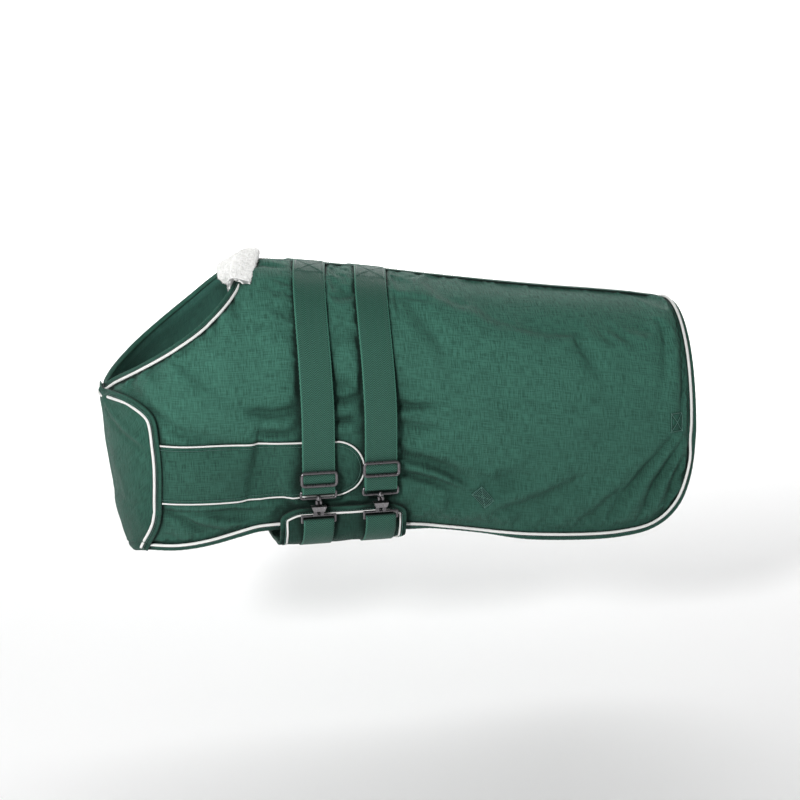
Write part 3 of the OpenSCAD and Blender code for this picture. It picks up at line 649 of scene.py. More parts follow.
# ---- Relief: how the padded cloth folds --------------------------------------------------
# A fold is (points (x, z) along it, height, half width), all in mm; a valley's height is
# negative. They are pulled by the straps, the tab, the hem and the round of the quarters.
NEAR_FOLDS = [
    ([(-262, -170), (-228, -175), (-193, -171)], -3.6, 7),
    ([(-258, -203), (-226, -207), (-193, -203)], -3.0, 6),
    ([(-266, -187), (-230, -191), (-195, -188)], 2.2, 7), ([(-250, -140), (-195, -146)], 1.6, 9),
    ([(-142, -158), (-120, -161), (-100, -158)], -3.0, 6), ([(-142, -190), (-102, -190)], -3.4, 6),
    ([(-142, -221), (-102, -221)], -2.8, 6), ([(-142, -174), (-102, -174)], 1.8, 7),
    ([(-142, -206), (-102, -206)], 1.8, 7), ([(-142, -135), (-102, -139)], -1.8, 8),
    ([(-46, -170), (-10, -175), (30, -175)], -3.6, 7), ([(-46, -199), (-10, -206), (30, -209)], -3.0, 6),
    ([(-46, -185), (24, -191)], 2.0, 7), ([(-46, -140), (20, -146)], -1.6, 9),
    ([(-42, -250), (18, -268), (80, -302)], -4.4, 8), ([(-42, -276), (2, -290), (58, -312)], -3.6, 7),
    ([(-42, -263), (14, -281), (68, -310)], 2.8, 7), ([(-40, -234), (28, -251), (96, -286)], 2.0, 11),
    ([(115, -336), (186, -315), (242, -281)], 4.0, 11), ([(116, -304), (152, -298)], -4.0, 15),
    ([(110, -352), (190, -338), (262, -300)], -2.0, 10), ([(250, -270), (330, -215)], -1.6, 12),
    ([(428, -232), (360, -300), (306, -376)], -3.0, 9), ([(432, -250), (385, -318), (352, -392)], -3.2, 8),
    ([(436, -270), (412, -335), (396, -392)], -2.6, 7), ([(420, -225), (345, -285), (280, -352)], 2.0, 12),
    ([(430, -240), (372, -310), (330, -384)], 2.2, 9), ([(434, -262), (400, -325), (375, -392)], 2.0, 8),
    ([(441, -89), (432, -160), (420, -236)], -3.0, 8), ([(427, -96), (415, -170), (402, -240)], 2.2, 9),
    ([(410, -90), (396, -160), (378, -215)], -1.4, 11),
    ([(-392, -320), (-362, -336), (-330, -362)], -2.8, 7),
    ([(-300, -322), (-276, -334), (-252, -356)], -2.8, 7), ([(-208, -318), (-186, -338)], -2.4, 6),
    ([(-345, -320), (-318, -340), (-292, -358)], 2.0, 8),
    ([(-392, -321), (-310, -326), (-214, -334)], -3.2, 7),
    ([(-330, -330), (-262, -342), (-206, -350)], -2.6, 6),
    ([(-376, -334), (-300, -345), (-240, -352)], 1.8, 7), ([(-122, -14), (-82, -14)], -1.4, 4),
    ([(-34, -19), (35, -31)], -1.4, 4), ([(-420, -150), (-372, -196), (-318, -214)], -2.0, 9),
    ([(-360, -100), (-300, -150), (-262, -166)], -1.6, 10),
    ([(-330, -70), (-284, -98), (-250, -104)], 1.8, 10), ([(60, -60), (160, -74), (260, -84)], -1.2, 12),
    ([(150, -170), (240, -190), (320, -182)], -1.4, 13)]
OFF_FOLDS = [
    ([(-262, -190), (-180, -214), (-90, -204)], -2.6, 10),
    ([(-250, -160), (-160, -176), (-60, -166)], 2.0, 12),
    ([(-230, -250), (-120, -276), (-20, -262)], -3.0, 10),
    ([(-190, -296), (-120, -306), (-50, -298)], -2.6, 8),
    ([(-20, -250), (60, -285), (130, -330)], -3.0, 10), ([(0, -220), (90, -262), (170, -316)], 2.6, 13),
    ([(120, -345), (200, -318), (268, -276)], 3.0, 12), ([(426, -236), (352, -306), (300, -380)], -3.0, 10),
    ([(434, -262), (396, -330), (366, -394)], -3.0, 8), ([(425, -248), (374, -312), (330, -388)], 2.2, 9),
    ([(441, -92), (430, -166), (418, -240)], -2.6, 9),
    ([(-420, -240), (-360, -262), (-290, -258)], -2.4, 10),
    ([(-400, -310), (-350, -340), (-300, -364)], -2.6, 9),
    ([(-350, -120), (-290, -170), (-240, -182)], -2.0, 11), ([(60, -70), (160, -82), (250, -92)], -1.2, 12),
    ([(110, -170), (230, -196), (330, -186)], -1.8, 13)]
FOLDS = {NEAR: (NEAR_FOLDS, 11), OFF: (OFF_FOLDS, 12)}     # and the seed of the slow waves
STRAPS = {"front": -165, "rear": -69}                      # x of each surcingle's middle, in mm
STRAP_LEAN = 20            # how far back a surcingle starts at the spine, in mm
TAB_TOP, TAB_BOTTOM, TAB_END = -214, -311, -90             # the cloth lies flat under the tab


def strap_middle(x, v):
    """Where along the rug, in mm, the middle of a surcingle lies at v down it."""
    return x + STRAP_LEAN * np.maximum(1 - np.abs(v) / 0.5, 0) ** 2


def fold_field(x, z, folds):
    """Height of all the folds at x, z, in mm."""
    total = np.zeros_like(x)
    for points, height, width in folds:
        points = smooth_line(np.array(points, float), 12) if len(points) > 2 else np.array(points, float)
        lengths = np.linalg.norm(np.diff(points, axis=0), axis=1)
        start, best, where = 0.0, np.full_like(x, 1e9), np.zeros_like(x)
        for a, b, length in zip(points[:-1], points[1:], lengths):
            d = (b - a) / length
            t = np.clip((x - a[0]) * d[0] + (z - a[1]) * d[1], 0, length)
            gap = np.hypot(x - a[0] - t * d[0], z - a[1] - t * d[1])
            nearer = gap < best
            best, where = np.where(nearer, gap, best), np.where(nearer, start + t, where)
            start += length
        ends = 0.35 + 0.65 * np.sin(np.pi * np.clip(where / start, 0, 1)) ** 0.7
        total += height * ends * (0.6 * np.exp(-(best / width) ** 2) + 0.4 * np.exp(-best / (0.5 * width)))
    return total


def gentle_waves(x, z, seed):
    """Slow swell of the filling, in mm."""
    rng = np.random.default_rng(seed)
    total = np.zeros_like(x)
    for _ in range(14):
        length, turn, phase = rng.uniform(45, 190), rng.uniform(0, math.pi), rng.uniform(0, 2 * math.pi)
        along = x * math.cos(turn) + z * math.sin(turn)
        total += 0.35 * np.sin(2 * math.pi * along / length + phase) * (length / 120) ** 0.5
    return total


def edge_distance(s, v):
    """Distance to the nearest bound edge, in metres."""
    drop = np.linalg.norm(surface(s, np.ones_like(v)) - surface(s, np.zeros_like(v)), axis=-1) * 1.15
    below, behind = (1 - v) * drop, REAR_S - s
    above = v * drop + np.where(s < WITHERS_S, np.maximum(s - SHOULDER_S, 0), (s - WITHERS_S) * 1.1)
    return np.minimum(np.minimum(below, behind), above)


def relief(s, v, side, folds, seed):
    """Height of the padded cloth above its plain surface, in metres."""
    p = surface(s, v) / MM
    x, z = p[..., 0], p[..., 2]
    d = edge_distance(s, v) / MM
    total = 2.3 * fold_field(x, z, folds) + gentle_waves(x, z, seed)
    total *= ease(6, 34, d)
    total *= ease(0, 30, (s - CHEST_S) / MM)
    total *= np.where(s > SHOULDER_S, ease(0, 0.07, v), 1)
    pucker = np.sin(x / 2.1 + 2 * np.sin(x / 17)) * np.sin(z / 2.3 + 2 * np.sin(z / 13))
    total += 0.55 * pucker * np.exp(-((d - 19) / 9) ** 2)
    total += -1.3 * np.exp(-((d - 13.5) / 4) ** 2) + 1.3 * np.exp(-((d - 34) / 13) ** 2)
    spine = np.minimum(v, 1) * 560
    total += np.where(s > WITHERS_S, -1.0 * np.exp(-((spine - 9) / 5) ** 2), 0)
    if side == NEAR:
        for middle in STRAPS.values():
            gap = np.abs(x - strap_middle(middle, v))
            under = (1 - ease(24, 33, gap)) * (1 - ease(0.6, 0.72, v))
            total = total * (1 - under) - 1.4 * under
        tab = (ease(TAB_BOTTOM - 8, TAB_BOTTOM + 4, z) * (1 - ease(TAB_TOP - 4, TAB_TOP + 8, z))
               * (1 - ease(TAB_END - 6, TAB_END + 12, x)))
        total = total * (1 - 0.9 * tab) - 0.6 * tab
    return total * MM


def cloth_uv(s, v):
    """Places along and down the cloth, so that the weave runs level and upright all over it."""
    p = surface(s, v)
    steps = np.linalg.norm(np.diff(p, axis=1), axis=2)
    down = np.concatenate([np.zeros((len(s), 1)), np.cumsum(steps, 1)], 1)
    first = int(np.argmax(s[:, 0] >= WITHERS_S))
    level = np.interp(-p[..., 2], -p[first, :, 2], down[first])
    down = np.where(s < WITHERS_S, level, down)
    round_chest = np.maximum(0.1 - p[..., 1], 0) * ease(-0.36, -0.42, p[..., 0])
    return np.stack([p[..., 0] - round_chest, down], -1)


SETTLE_FRAMES, SETTLE_CAP = 22, 0.006      # the cap is how far a point may move, in metres


def settled(s, v, height, side):
    """How far the cloth moves when it is let settle: it is a little too big for its seams."""
    rows, cols = s.shape
    start = on_cloth(s, v, height, side)
    mesh = bpy.data.meshes.new("settle")
    mesh.from_pydata(start.reshape(-1, 3).tolist(), [], quads(rows, cols).tolist())
    obj = linked("settle", mesh)
    held = edge_distance(s, v) < 0.016
    held |= v < 0.02
    held |= s < CHEST_S + 0.02
    if side == NEAR:
        x = surface(s, v)[..., 0] / MM
        for middle in STRAPS.values():
            held |= (np.abs(x - strap_middle(middle, v)) < 22) & (v < 0.62)
    group = obj.vertex_groups.new(name="held")
    group.add(np.nonzero(held.ravel())[0].tolist(), 1.0, "REPLACE")
    cloth = obj.modifiers.new("cloth", "CLOTH")
    use = cloth.settings
    use.vertex_group_mass = "held"
    use.quality = 6
    use.tension_stiffness = use.compression_stiffness = 30
    use.shear_stiffness = 12
    use.bending_stiffness = 1.6
    use.mass = 0.4
    use.air_damping = 4
    use.use_pressure = True
    use.uniform_pressure_force = 0.35 * -side
    use.shrink_min = -0.045
    use.effector_weights.gravity = 0.0
    cloth.collision_settings.use_collision = False
    cloth.point_cache.frame_start, cloth.point_cache.frame_end = 1, SETTLE_FRAMES
    for number in range(1, SETTLE_FRAMES + 1):
        bpy.context.scene.frame_set(number)
    result = obj.evaluated_get(bpy.context.evaluated_depsgraph_get()).to_mesh()
    end = np.empty(rows * cols * 3)
    result.vertices.foreach_get("co", end)
    bpy.data.objects.remove(obj)
    bpy.data.meshes.remove(mesh)
    bpy.context.scene.frame_set(1)
    moved = ((end.reshape(rows, cols, 3) - start) * mirrored(outward(s, v), side)).sum(-1)
    return SETTLE_CAP * np.tanh(moved / SETTLE_CAP)


def columns(count):
    """Even columns, with the crowded cross lines before the withers drawn closer."""
    places = np.linspace(CHEST_S + 0.0008, REAR_S - 0.0006, 4001)
    steps = np.where((places > SHOULDER_S) & (places < WITHERS_S), 4.0, 1.0)
    steps = np.where(places > 0.42, 2.5, steps)
    run = np.cumsum(steps)
    return np.interp(np.linspace(run[0], run[-1], count), run, places)


def sampled(field, s, v):
    """Values of a grid over the cloth at any places on it, without steps in slope."""
    a = np.interp(s, columns(field.shape[0]), np.arange(field.shape[0]))
    b = np.clip((v - 0.002) / 0.996, 0, 1) * (field.shape[1] - 1)
    i, j = np.minimum(a.astype(int), field.shape[0] - 2), np.minimum(b.astype(int), field.shape[1] - 2)
    fa, fb = a - i, b - j
    fa, fb = fa * fa * (3 - 2 * fa), fb * fb * (3 - 2 * fb)
    return ((1 - fa) * ((1 - fb) * field[i, j] + fb * field[i, j + 1])
            + fa * ((1 - fb) * field[i + 1, j] + fb * field[i + 1, j + 1]))


def cloth_grid(rows, cols):
    """Places along the rug and down it, over one whole side."""
    return np.meshgrid(columns(rows), np.linspace(0.002, 0.998, cols), indexing="ij")


# Columns and rows of the shell, the filling, the lining and the cloth that is let settle
FINE, COARSE, INNER, SETTLED = (400, 200), (260, 120), (260, 130), (170, 84)
SHELL_T, LINING_T = 0.0012, 0.001
FILL_OUT = 0.0021          # the filling's outer face, below the shell's
LINING_N, EDGE_LINING_N = 0.009, 0.0038    # depth of the lining in the middle and at the edges


def lining_depth(s, v):
    """The layers are pressed thin where the binding holds them."""
    return LINING_N + (EDGE_LINING_N - LINING_N) * np.exp(-(edge_distance(s, v) / 0.017) ** 2)


def add_side(side):
    """Outer shell, filling and lining of one side."""
    name = SIDE_NAMES[side]
    folds, seed = FOLDS[side]
    moved = None
    s, v = cloth_grid(*SETTLED)
    moved = settled(s, v, relief(s, v, side, folds, seed), side)

    def height(s, v):
        total = relief(s, v, side, folds, seed)
        if moved is not None:
            total = total + sampled(moved, s, v)
        deepest, highest = 0.003 - lining_depth(s, v), 0.0075
        return np.where(total < 0, deepest * np.tanh(total / deepest), highest * np.tanh(total / highest))

    s, v = cloth_grid(*FINE)
    top = height(s, v)
    uv = cloth_uv(s, v)
    shell = slab(name + "_shell_cloth", on_cloth(s, v, top, side), on_cloth(s, v, top - SHELL_T, side),
                 OXFORD, uv)
    place(shell, "rug", "outer_fabric", name + "_outer_shell")
    s, v = cloth_grid(*COARSE)
    top = height(s, v)
    depth = lining_depth(s, v)
    wadding = slab(name + "_wadding", on_cloth(s, v, top - FILL_OUT, side),
                   on_cloth(s, v, -depth + 0.0003, side), WADDING)
    place(wadding, "rug", "fill_wadding", name + "_fill")
    s, v = cloth_grid(*INNER)
    depth = lining_depth(s, v)
    p = surface(s, v) / MM
    ripple = (gentle_waves(p[..., 0] * 2.2, p[..., 2] * 2.2, seed + 5) * 0.5
              * ease(8, 40, edge_distance(s, v) / MM)) * MM
    inner = slab(name + "_lining_cloth", on_cloth(s, v, -depth + np.minimum(ripple, 0), side),
                 on_cloth(s, v, -depth - LINING_T + np.minimum(ripple, 0), side), LINING)
    place(inner, "rug", "lining_fabric", name + "_lining")
    return height


# Height of each side's cloth above its plain surface
HEIGHT = {side: add_side(side) for side in (NEAR, OFF)}

# ---- Bound and piped edges ---------------------------------------------------------------
BINDING_W, BINDING_T, PIPING_R = 0.007, 0.001, 0.0022


def rounded_binding(inner, inside_w=BINDING_W):
    """Outline of the folded tape, open towards the cloth: outer face, turn, inner face."""
    half = (0.0012 + BINDING_T - inner) / 2
    middle = inner + half
    turn = np.linspace(math.pi / 2, -math.pi / 2, 9)
    reach = 0.0016
    outer = [(-BINDING_W, middle + half)] + [(reach * math.cos(a), middle + half * math.sin(a)) for a in turn]
    outer += [(-inside_w, middle - half)]
    thin = half - BINDING_T
    inside = [(-inside_w, middle - thin)]
    inside += [((reach - BINDING_T) * math.cos(a), middle + thin * math.sin(a)) for a in turn[::-1]]
    return np.array(outer + inside + [(-BINDING_W, middle + thin)])


def neck_edge(step=0.003, start=CHEST_S):
    """The neckline from the near chest over the withers to the off chest."""
    s = np.linspace(start, WITHERS_S, 160)[:-1]
    p, n = surface(s, 0 * s), outward(s, 0 * s + 0.004)
    top = surface(np.array([WITHERS_S]), np.array([0.0]))
    path = np.vstack([mirrored(p, NEAR), top, p[::-1]])
    normal = np.vstack([mirrored(n, NEAR), [(0, 0, 1)], n[::-1]])
    return respaced(path, normal, step)


def softened(values, passes):
    """Values along a path, each drawn towards its neighbours."""
    for _ in range(passes):
        values[1:-1] = (values[:-2] + 2 * values[1:-1] + values[2:]) / 4
    return values


def blurred(normals, passes=12):
    """Outward directions that turn softly along a path."""
    return unit(softened(normals, passes))


def hem_edge(side, step=0.003):
    """From the chest along the hem, round the quarter and up the rear edge to the spine."""
    s = np.linspace(CHEST_S, REAR_S, 300)
    p, n = surface(s, 0 * s + 1), outward(s, 0 * s + 0.996)
    v = np.linspace(0.995, 0, 120)
    p = np.vstack([p, surface(0 * v + REAR_S, v)])
    n = np.vstack([n, outward(0 * v + REAR_S - 0.001, v)])
    both = softened(evenly(np.hstack([mirrored(p, side), mirrored(n, side) * MM]), step), 8)
    return both[:, :3], unit(both[:, 3:])


EDGE_DEPTH = -EDGE_LINING_N - LINING_T - 0.0006


def bound_edge(name, path, normal, side, body, binding_nodes, piping_nodes, depth=EDGE_DEPTH, lift=0.0,
               radius=PIPING_R, inside_w=BINDING_W):
    """Folded tape, piping beside it and the row of stitches between them."""
    normal = blurred(normal.copy())
    step = np.arange(len(path))
    ripple = 0.00022 * np.sin(step * 1.9) * np.sin(step * 0.31 + 1)
    rings = swept(path, normal, side, rounded_binding(depth, inside_w))
    rings = rings + (lift + ripple)[:, None, None] * normal[:, None]
    place(tube(name + "_tape", rings, TAPE), body, "binding_tape", *binding_nodes)
    rings = swept(path, normal, side, circle(radius, 12, (-BINDING_W - 0.0004 - radius, 0.0002 + radius)))
    rings = rings + (lift + 0.6 * ripple)[:, None, None] * normal[:, None]
    place(tube(name + "_cord", rings, CORD), body, "piping", *piping_nodes)
    away = -side * unit(np.cross(directions(path), normal))
    seam = path - away * 0.0055 + normal * (lift + 0.0022 + ripple)[:, None]
    stitches(name + "_seam", [seam], [normal], body)


for side, name in SIDE_NAMES.items():
    path, normal = hem_edge(side)
    bound_edge(name + "_hem", path, normal, side, "rug", [name + "_edge_binding"], [name + "_edge_piping"])
path, normal = neck_edge()
bound_edge("neck", path, normal, 1, "rug", ["neck_binding"], ["neck_piping"], inside_w=0.003)


# ---- Webbing ----------------------------------------------------------------------------
WEB_T = 0.0019             # thickness of the webbing


def web_section(half_width, half_thickness):
    """Webbing seen end on as (across, outwards), and how far across its weave each point is."""
    a = np.linspace(-0.975, 0.975, 11)
    face = np.stack([a, np.ones_like(a)], -1)
    edge = np.array([(1, 0.45), (1, -0.45)])
    section = np.concatenate([face, edge, face[::-1] * (1, -1), -edge])
    return section * (half_width, half_thickness), (section[:, 0] + 1) / 2 * 2 * half_width


def webbing(name, rings_at, body, slot_nodes, width=WEB_W, thickness=WEB_T, count=200):
    """Webbing through places given as functions of (across, outwards)."""
    section, across = web_section(width / 2, thickness / 2)
    rings = np.stack([place_at(section[:, 0], section[:, 1]) for place_at in rings_at])
    rings = smooth_line(rings.reshape(len(rings), -1), count).reshape(count, -1, 3)
    along = run_length(rings.mean(1))
    frill = 0.00025 * np.sin(along * 900 + 2 * np.sin(along * 70))
    selvedge = np.sign(section[:, 0]) * (np.abs(section[:, 0]) > 0.9 * width / 2)
    rings[:, :, 0] += frill[:, None] * selvedge[None]
    obj = tube(name, rings, WEB, uv=strip_uv(across, along))
    return place(obj, body, "webbing", *slot_nodes)


def flat_ring(x, w, z, out):
    """Webbing across x at half width w on the near side; out is (outwards, up)."""
    out = np.array((0, -out[0], out[1]), float)
    return lambda a, n: np.array((x, -w, z)) + a[:, None] * np.array((1, 0, 0)) + n[:, None] * out


def round_bar(x, w, z, radius, degrees):
    """Webbing carried round a bar at (w, z), at these angles."""
    return [flat_ring(x * MM, w + radius * math.cos(a), z + radius * math.sin(a),
                      (math.cos(a), math.sin(a))) for a in np.radians(degrees)]


def strap_lift(v):
    """How far a surcingle stands off the cloth as it comes round the barrel."""
    return 0.0012 + 0.0128 * (np.maximum(np.abs(v) - 0.1, 0) / 0.55) ** 2


def strap_ring(x, v, lift=0.0):
    """Webbing lying on the cloth at v down the near side; above the spine v is negative."""
    def at(a, n):
        s = strap_middle(x, v) * MM + a
        p = surface(s, np.full_like(s, abs(v)))
        p = p + (strap_lift(v) + lift + n)[:, None] * outward(s, np.full_like(s, abs(v)))
        return mirrored(p, OFF if v < 0 else NEAR)
    return at


def sewn_on_strap(x, points):
    """A line of stitches through (across, down) points of a surcingle, and the way out there."""
    line = [strap_ring(x, v)(np.array([a]), np.array([WEB_T / 2 + 0.0001]))[0] for a, v in points]
    s = np.array([strap_middle(x, v) * MM + a for a, v in points])
    out = outward(s, np.array([abs(v) for _, v in points]))
    return np.array(line), mirrored(out, NEAR)


HANG_W = 0.172             # half width at which the surcingles hang straight down
LOOP_W, LOOP_Z = 0.168, -0.296             # upper bar of the wire loops
FOLD_R = 0.0036            # the strap's fold round that bar
BAR_W, WRAP_R = 0.167, 0.0028              # the slider's centre bar, and the webbing round it
SLIDER_Z = {"front": -0.275, "rear": -0.265}
BOX_A, BOX_V = (-0.021, 0.021), (0.012, 0.135)     # the box sewn through the end of a surcingle
for which, x in STRAPS.items():
    run = [strap_ring(x, v) for v in (-0.14, -0.1, -0.06, -0.03, -0.008, 0.008, 0.03, 0.06, 0.1, 0.15,
                                      0.2, 0.26, 0.32, 0.38, 0.44, 0.49, 0.54, 0.59)]
    run += [flat_ring(x * MM, w, z, (1, 0)) for w, z in
            ((0.1712, -0.184), (HANG_W, -0.2), (HANG_W, -0.23), (HANG_W, -0.26), (HANG_W, -0.286))]
    run += round_bar(x, LOOP_W, LOOP_Z, FOLD_R, range(0, -181, -30))
    webbing(which + "_strap", run, "rug", [which + "_surcingle"], count=420)
    stop = SLIDER_Z[which] - 0.001
    back = webbing(which + "_return_ply", [flat_ring(x * MM, LOOP_W - FOLD_R, z, (-1, 0)) for z in
                                           (LOOP_Z + 0.0012, LOOP_Z + 0.006, stop - 0.004, stop)],
                   None, [], count=60)
    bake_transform(back)
    # Wrap round the centre bar, and the strap's hump between the outer bars
    z = SLIDER_Z[which]
    wrap = webbing(which + "_wrap", round_bar(x, BAR_W, z, WRAP_R, range(-160, 161, 20)), None, [],
                   width=0.049, thickness=0.0014, count=60)
    hump = webbing(which + "_hump", [flat_ring(x * MM, w, z + h, out) for w, h, out in
                                     ((0.1743, -0.0066, (0.9, -0.3)), (0.1752, -0.0045, (0.9, -0.35)),
                                      (0.1762, 0, (1, 0)), (0.1752, 0.0045, (0.9, 0.35)),
                                      (0.1743, 0.0066, (0.9, 0.3)))],
                   None, [], width=0.0492, count=40)
    place(joined(which + "_slider_web", [wrap, hump]), which + "_slider", "webbing",
          which + "_slider_webbing")
    # The strap's end is sewn down over the spine with a box and a cross
    vs = np.linspace(*BOX_V, 24)
    lines = [sewn_on_strap(x, [(a, v) for v in vs]) for a in BOX_A]
    lines += [sewn_on_strap(x, [(a, v) for a in np.linspace(*BOX_A, 12)]) for v in BOX_V]
    lines += [sewn_on_strap(x, list(zip(np.linspace(*ends, 24), vs))) for ends in (BOX_A, BOX_A[::-1])]
    stitches(which + "_strap_box", [line for line, _ in lines], [out for _, out in lines], "rug")

# ---- Chest panel -------------------------------------------------------------------------
# The free edge of the panel: (down the rug, place along it in mm)
PANEL_EDGE = [(0, -558), (0.04, -540), (0.1, -496), (0.2, -444), (0.32, -410), (0.5, -399), (0.7, -400),
              (0.85, -408), (1, -440)]
PANEL_CURVE = smooth_line(np.array(PANEL_EDGE, float) * (400, 1), 200) / (400, 1)


def panel_edge(v):
    """Place along the rug of the panel's free edge."""
    return np.interp(v, PANEL_CURVE[:, 0], PANEL_CURVE[:, 1]) * MM


def panel_under(s, v):
    """Underside of the panel, clear of the tab and of the bound edges it crosses."""
    d = np.minimum(edge_distance(s, v) / MM, 40)
    near_edges = 2.2 * np.exp(-((d - 8) / 8) ** 2)
    across = (s / MM + 540) * 0.44 + (surface(s, v)[..., 2] / MM + 166) * 0.9
    crease = ((4.0 * np.exp(-((across - 10) / 7) ** 2) - 2.2 * np.exp(-(across / 5) ** 2))
              * ease(-562, -535, s / MM) * (1 - ease(-432, -408, s / MM)))
    free = panel_edge(v) - s
    soft = 0.5 * np.sin(s * 95 + 3 * v) * np.sin(v * 21 + s * 40) * ease(0, 0.02, free)
    return HEIGHT[NEAR](s, v) + (3.7 + near_edges + soft + crease) * MM


def panel_grid(rows, cols, add):
    """One face of the panel, from its lap on the off side round the chest to its free edge."""
    v = np.linspace(0.004, 0.996, cols)
    lap = CHEST_S + np.linspace(0.014, 0.001, 8)
    s_off, v_off = np.meshgrid(lap, v, indexing="ij")
    off = on_cloth(s_off, v_off, panel_under(s_off, v_off) + add(s_off, v_off), OFF)
    t, v_near = np.meshgrid(np.linspace(0, 1, rows), v, indexing="ij")
    s_near = CHEST_S + t * (panel_edge(v_near) - CHEST_S)
    near = on_cloth(s_near, v_near, panel_under(s_near, v_near) + add(s_near, v_near), NEAR)
    return np.concatenate([off, near])


def panel_thickness(s, v):
    """Thickness of the panel, pressed at its bound edge."""
    rim = np.minimum(panel_edge(v) - s, edge_distance(s, v)) / MM
    return (3.6 - 1.7 * np.exp(-(np.maximum(rim, 0) / 8) ** 2)) * MM


panel = slab("chest_panel_cloth", panel_grid(110, 150, panel_thickness),
             panel_grid(110, 150, lambda s, v: 0 * s), PANEL_CLOTH)
place(panel, "rug", "outer_fabric", "chest_panel_shell")
v = np.linspace(0.006, 0.994, 300)
s = panel_edge(v)
path = on_cloth(s, v, panel_under(s, v) + panel_thickness(s, v), NEAR)
bound_edge("panel", *respaced(path, mirrored(outward(s, v), NEAR), 0.003), 1, "rug", ["chest_panel_binding"],
           ["chest_panel_piping"], depth=-0.0028, lift=-0.001)

# ---- Chest tab ---------------------------------------------------------------------------
TAB_START, TAB_STOP, TAB_HALF = -455, -94, 43      # root, tip and half width, in mm
TAB_MIDDLE, TAB_FALL = -261, 5             # height at its root and how far it falls, in mm


def tab_places(start, trim, rows, cols):
    """Places along the rug and down it over the tab, from its root to its round end."""
    radius = TAB_HALF - trim
    centre = TAB_STOP - TAB_HALF
    straight = np.linspace(start, centre, rows)
    turned = centre + radius * np.sin(np.linspace(0, math.pi / 2 - 0.06, rows // 3))[1:]
    s = np.concatenate([straight, turned])
    half = np.where(s < centre, radius, radius * np.sqrt(np.maximum(1 - ((s - centre) / radius) ** 2, 0.002)))
    a = np.linspace(-1, 1, cols)
    middle = TAB_MIDDLE - TAB_FALL * (s - TAB_START) / (TAB_STOP - TAB_START)
    z = middle[:, None] - a[None] * half[:, None]
    s = s[:, None] + 0 * z
    return s * MM, down_at(s * MM, z * MM)


def tab_piece(name, start, trim, low, high, material, rows=110, cols=40):
    """A layer of the tab between two heights above the rug, set in from its edge."""
    s, v = tab_places(start, trim, rows, cols)
    rest = HEIGHT[NEAR](s, v)
    return slab(name, on_cloth(s, v, rest + high, NEAR), on_cloth(s, v, rest + low, NEAR), material)


tab = tab_piece("chest_tab_cloth", TAB_START, 0, 0.0012, 0.0030, PANEL_CLOTH)
place(tab, "rug", "outer_fabric", "chest_tab")
for name, start, trim, low, high in (("loop", -300, 10, 0.0001, 0.0005), ("hook", -240, 12, 0.0006, 0.0010)):
    place(tab_piece(name + "_patch", start, trim, low, high, TOUCH_TAPE, 40, 20), "rug", "hook_and_loop",
          "tab_" + name + "_patch")
s, v = tab_places(TAB_START, 0, 160, 3)
rim_s = np.concatenate([s[:, 0], [s[-1, 1] + 0.0003], s[::-1, -1]])
rim_v = np.concatenate([v[:, 0], [v[-1, 1]], v[::-1, -1]])
rim = on_cloth(rim_s, rim_v, HEIGHT[NEAR](rim_s, rim_v) + 0.0021, NEAR)
path, normal = respaced(rim, mirrored(outward(rim_s, rim_v), NEAR), 0.0025)
rings = swept(path, normal, 1, circle(0.0014, 10, (0.0010, 0.0004)))
place(tube("chest_tab_cord", rings, CORD), "rug", "piping", "chest_tab_piping")
s, v = tab_places(TAB_START, 5, 160, 3)
rim_s, rim_v = (np.concatenate([g[:, 0], g[::-1, -1]]) for g in (s, v))
line = on_cloth(rim_s, rim_v, HEIGHT[NEAR](rim_s, rim_v) + 0.0031, NEAR)
stitches("tab_seam", [line], [mirrored(outward(rim_s, rim_v), NEAR)], "rug")

# ---- Spine tape, anchor tape and sewn patches ---------------------------------------------
SPINE_HALF = 0.0072        # half width of the spine tape
s = np.linspace(WITHERS_S + 0.01, REAR_S - 0.01, 420)
width = np.linspace(-SPINE_HALF, SPINE_HALF, 9)
top = surface(s, 0 * s)[:, None] + np.stack([0 * width, width, 0 * width], -1)[None]
crown = (0.0011 - 0.0006 * (width / SPINE_HALF) ** 4)[None, :, None] * np.array((0, 0, 1))
place(slab("spine_tape_cloth", top + crown, top + np.array((0, 0, 0.0001)), TAPE), "rug", "outer_fabric",
      "spine_tape")
for side, name in SIDE_NAMES.items():
    line = surface(s, 0 * s) + np.array((0, side * 0.0054, 0.0011))
    stitches("spine_seam_" + name, [line], [np.tile((0.0, 0.0, 1.0), (len(s), 1))], "rug")

s, z = np.meshgrid(np.linspace(-0.213, -0.035, 90), np.linspace(-0.328, -0.346, 12), indexing="ij")
v = down_at(s, z)
rest = HEIGHT[OFF](s, v)
place(slab("anchor_tape_cloth", on_cloth(s, v, rest + 0.0028, OFF), on_cloth(s, v, rest + 0.0004, OFF), TAPE),
      "rug", "outer_fabric", "flap_anchor_tape")


def box_and_cross(a, b, c, d):
    """Lines round four corners and between opposite ones."""
    return [[a, b], [b, c], [c, d], [d, a], [a, c], [b, d]]


def sewn_on_shell(name, outline, side):
    """Stitches along lines given as (x, z) in mm on one side's cloth."""
    lines, normals = [], []
    for points in outline:
        p = evenly(np.array(points, float), 1.5) * MM
        v = down_at(p[:, 0], p[:, 1])
        lines.append(on_cloth(p[:, 0], v, HEIGHT[side](p[:, 0], v) + 0.0002, side))
        normals.append(mirrored(outward(p[:, 0], v), side))
    stitches(name, lines, normals, "rug", width=0.0012)


for side, name in SIDE_NAMES.items():
    patch = box_and_cross((403, -215), (424, -215), (424, -243), (403, -243))
    sewn_on_shell(name + "_rear_ring_box", patch, side)
    a, b, c, d = np.array([(94, -311), (113, -332), (99, -343), (79, -323)], float)
    rows = [[a + (d - a) * k, b + (c - b) * k] for k in np.linspace(0.12, 0.88, 7)]
    sewn_on_shell(name + "_stifle_ring_box", box_and_cross(a, b, c, d) + rows, side)

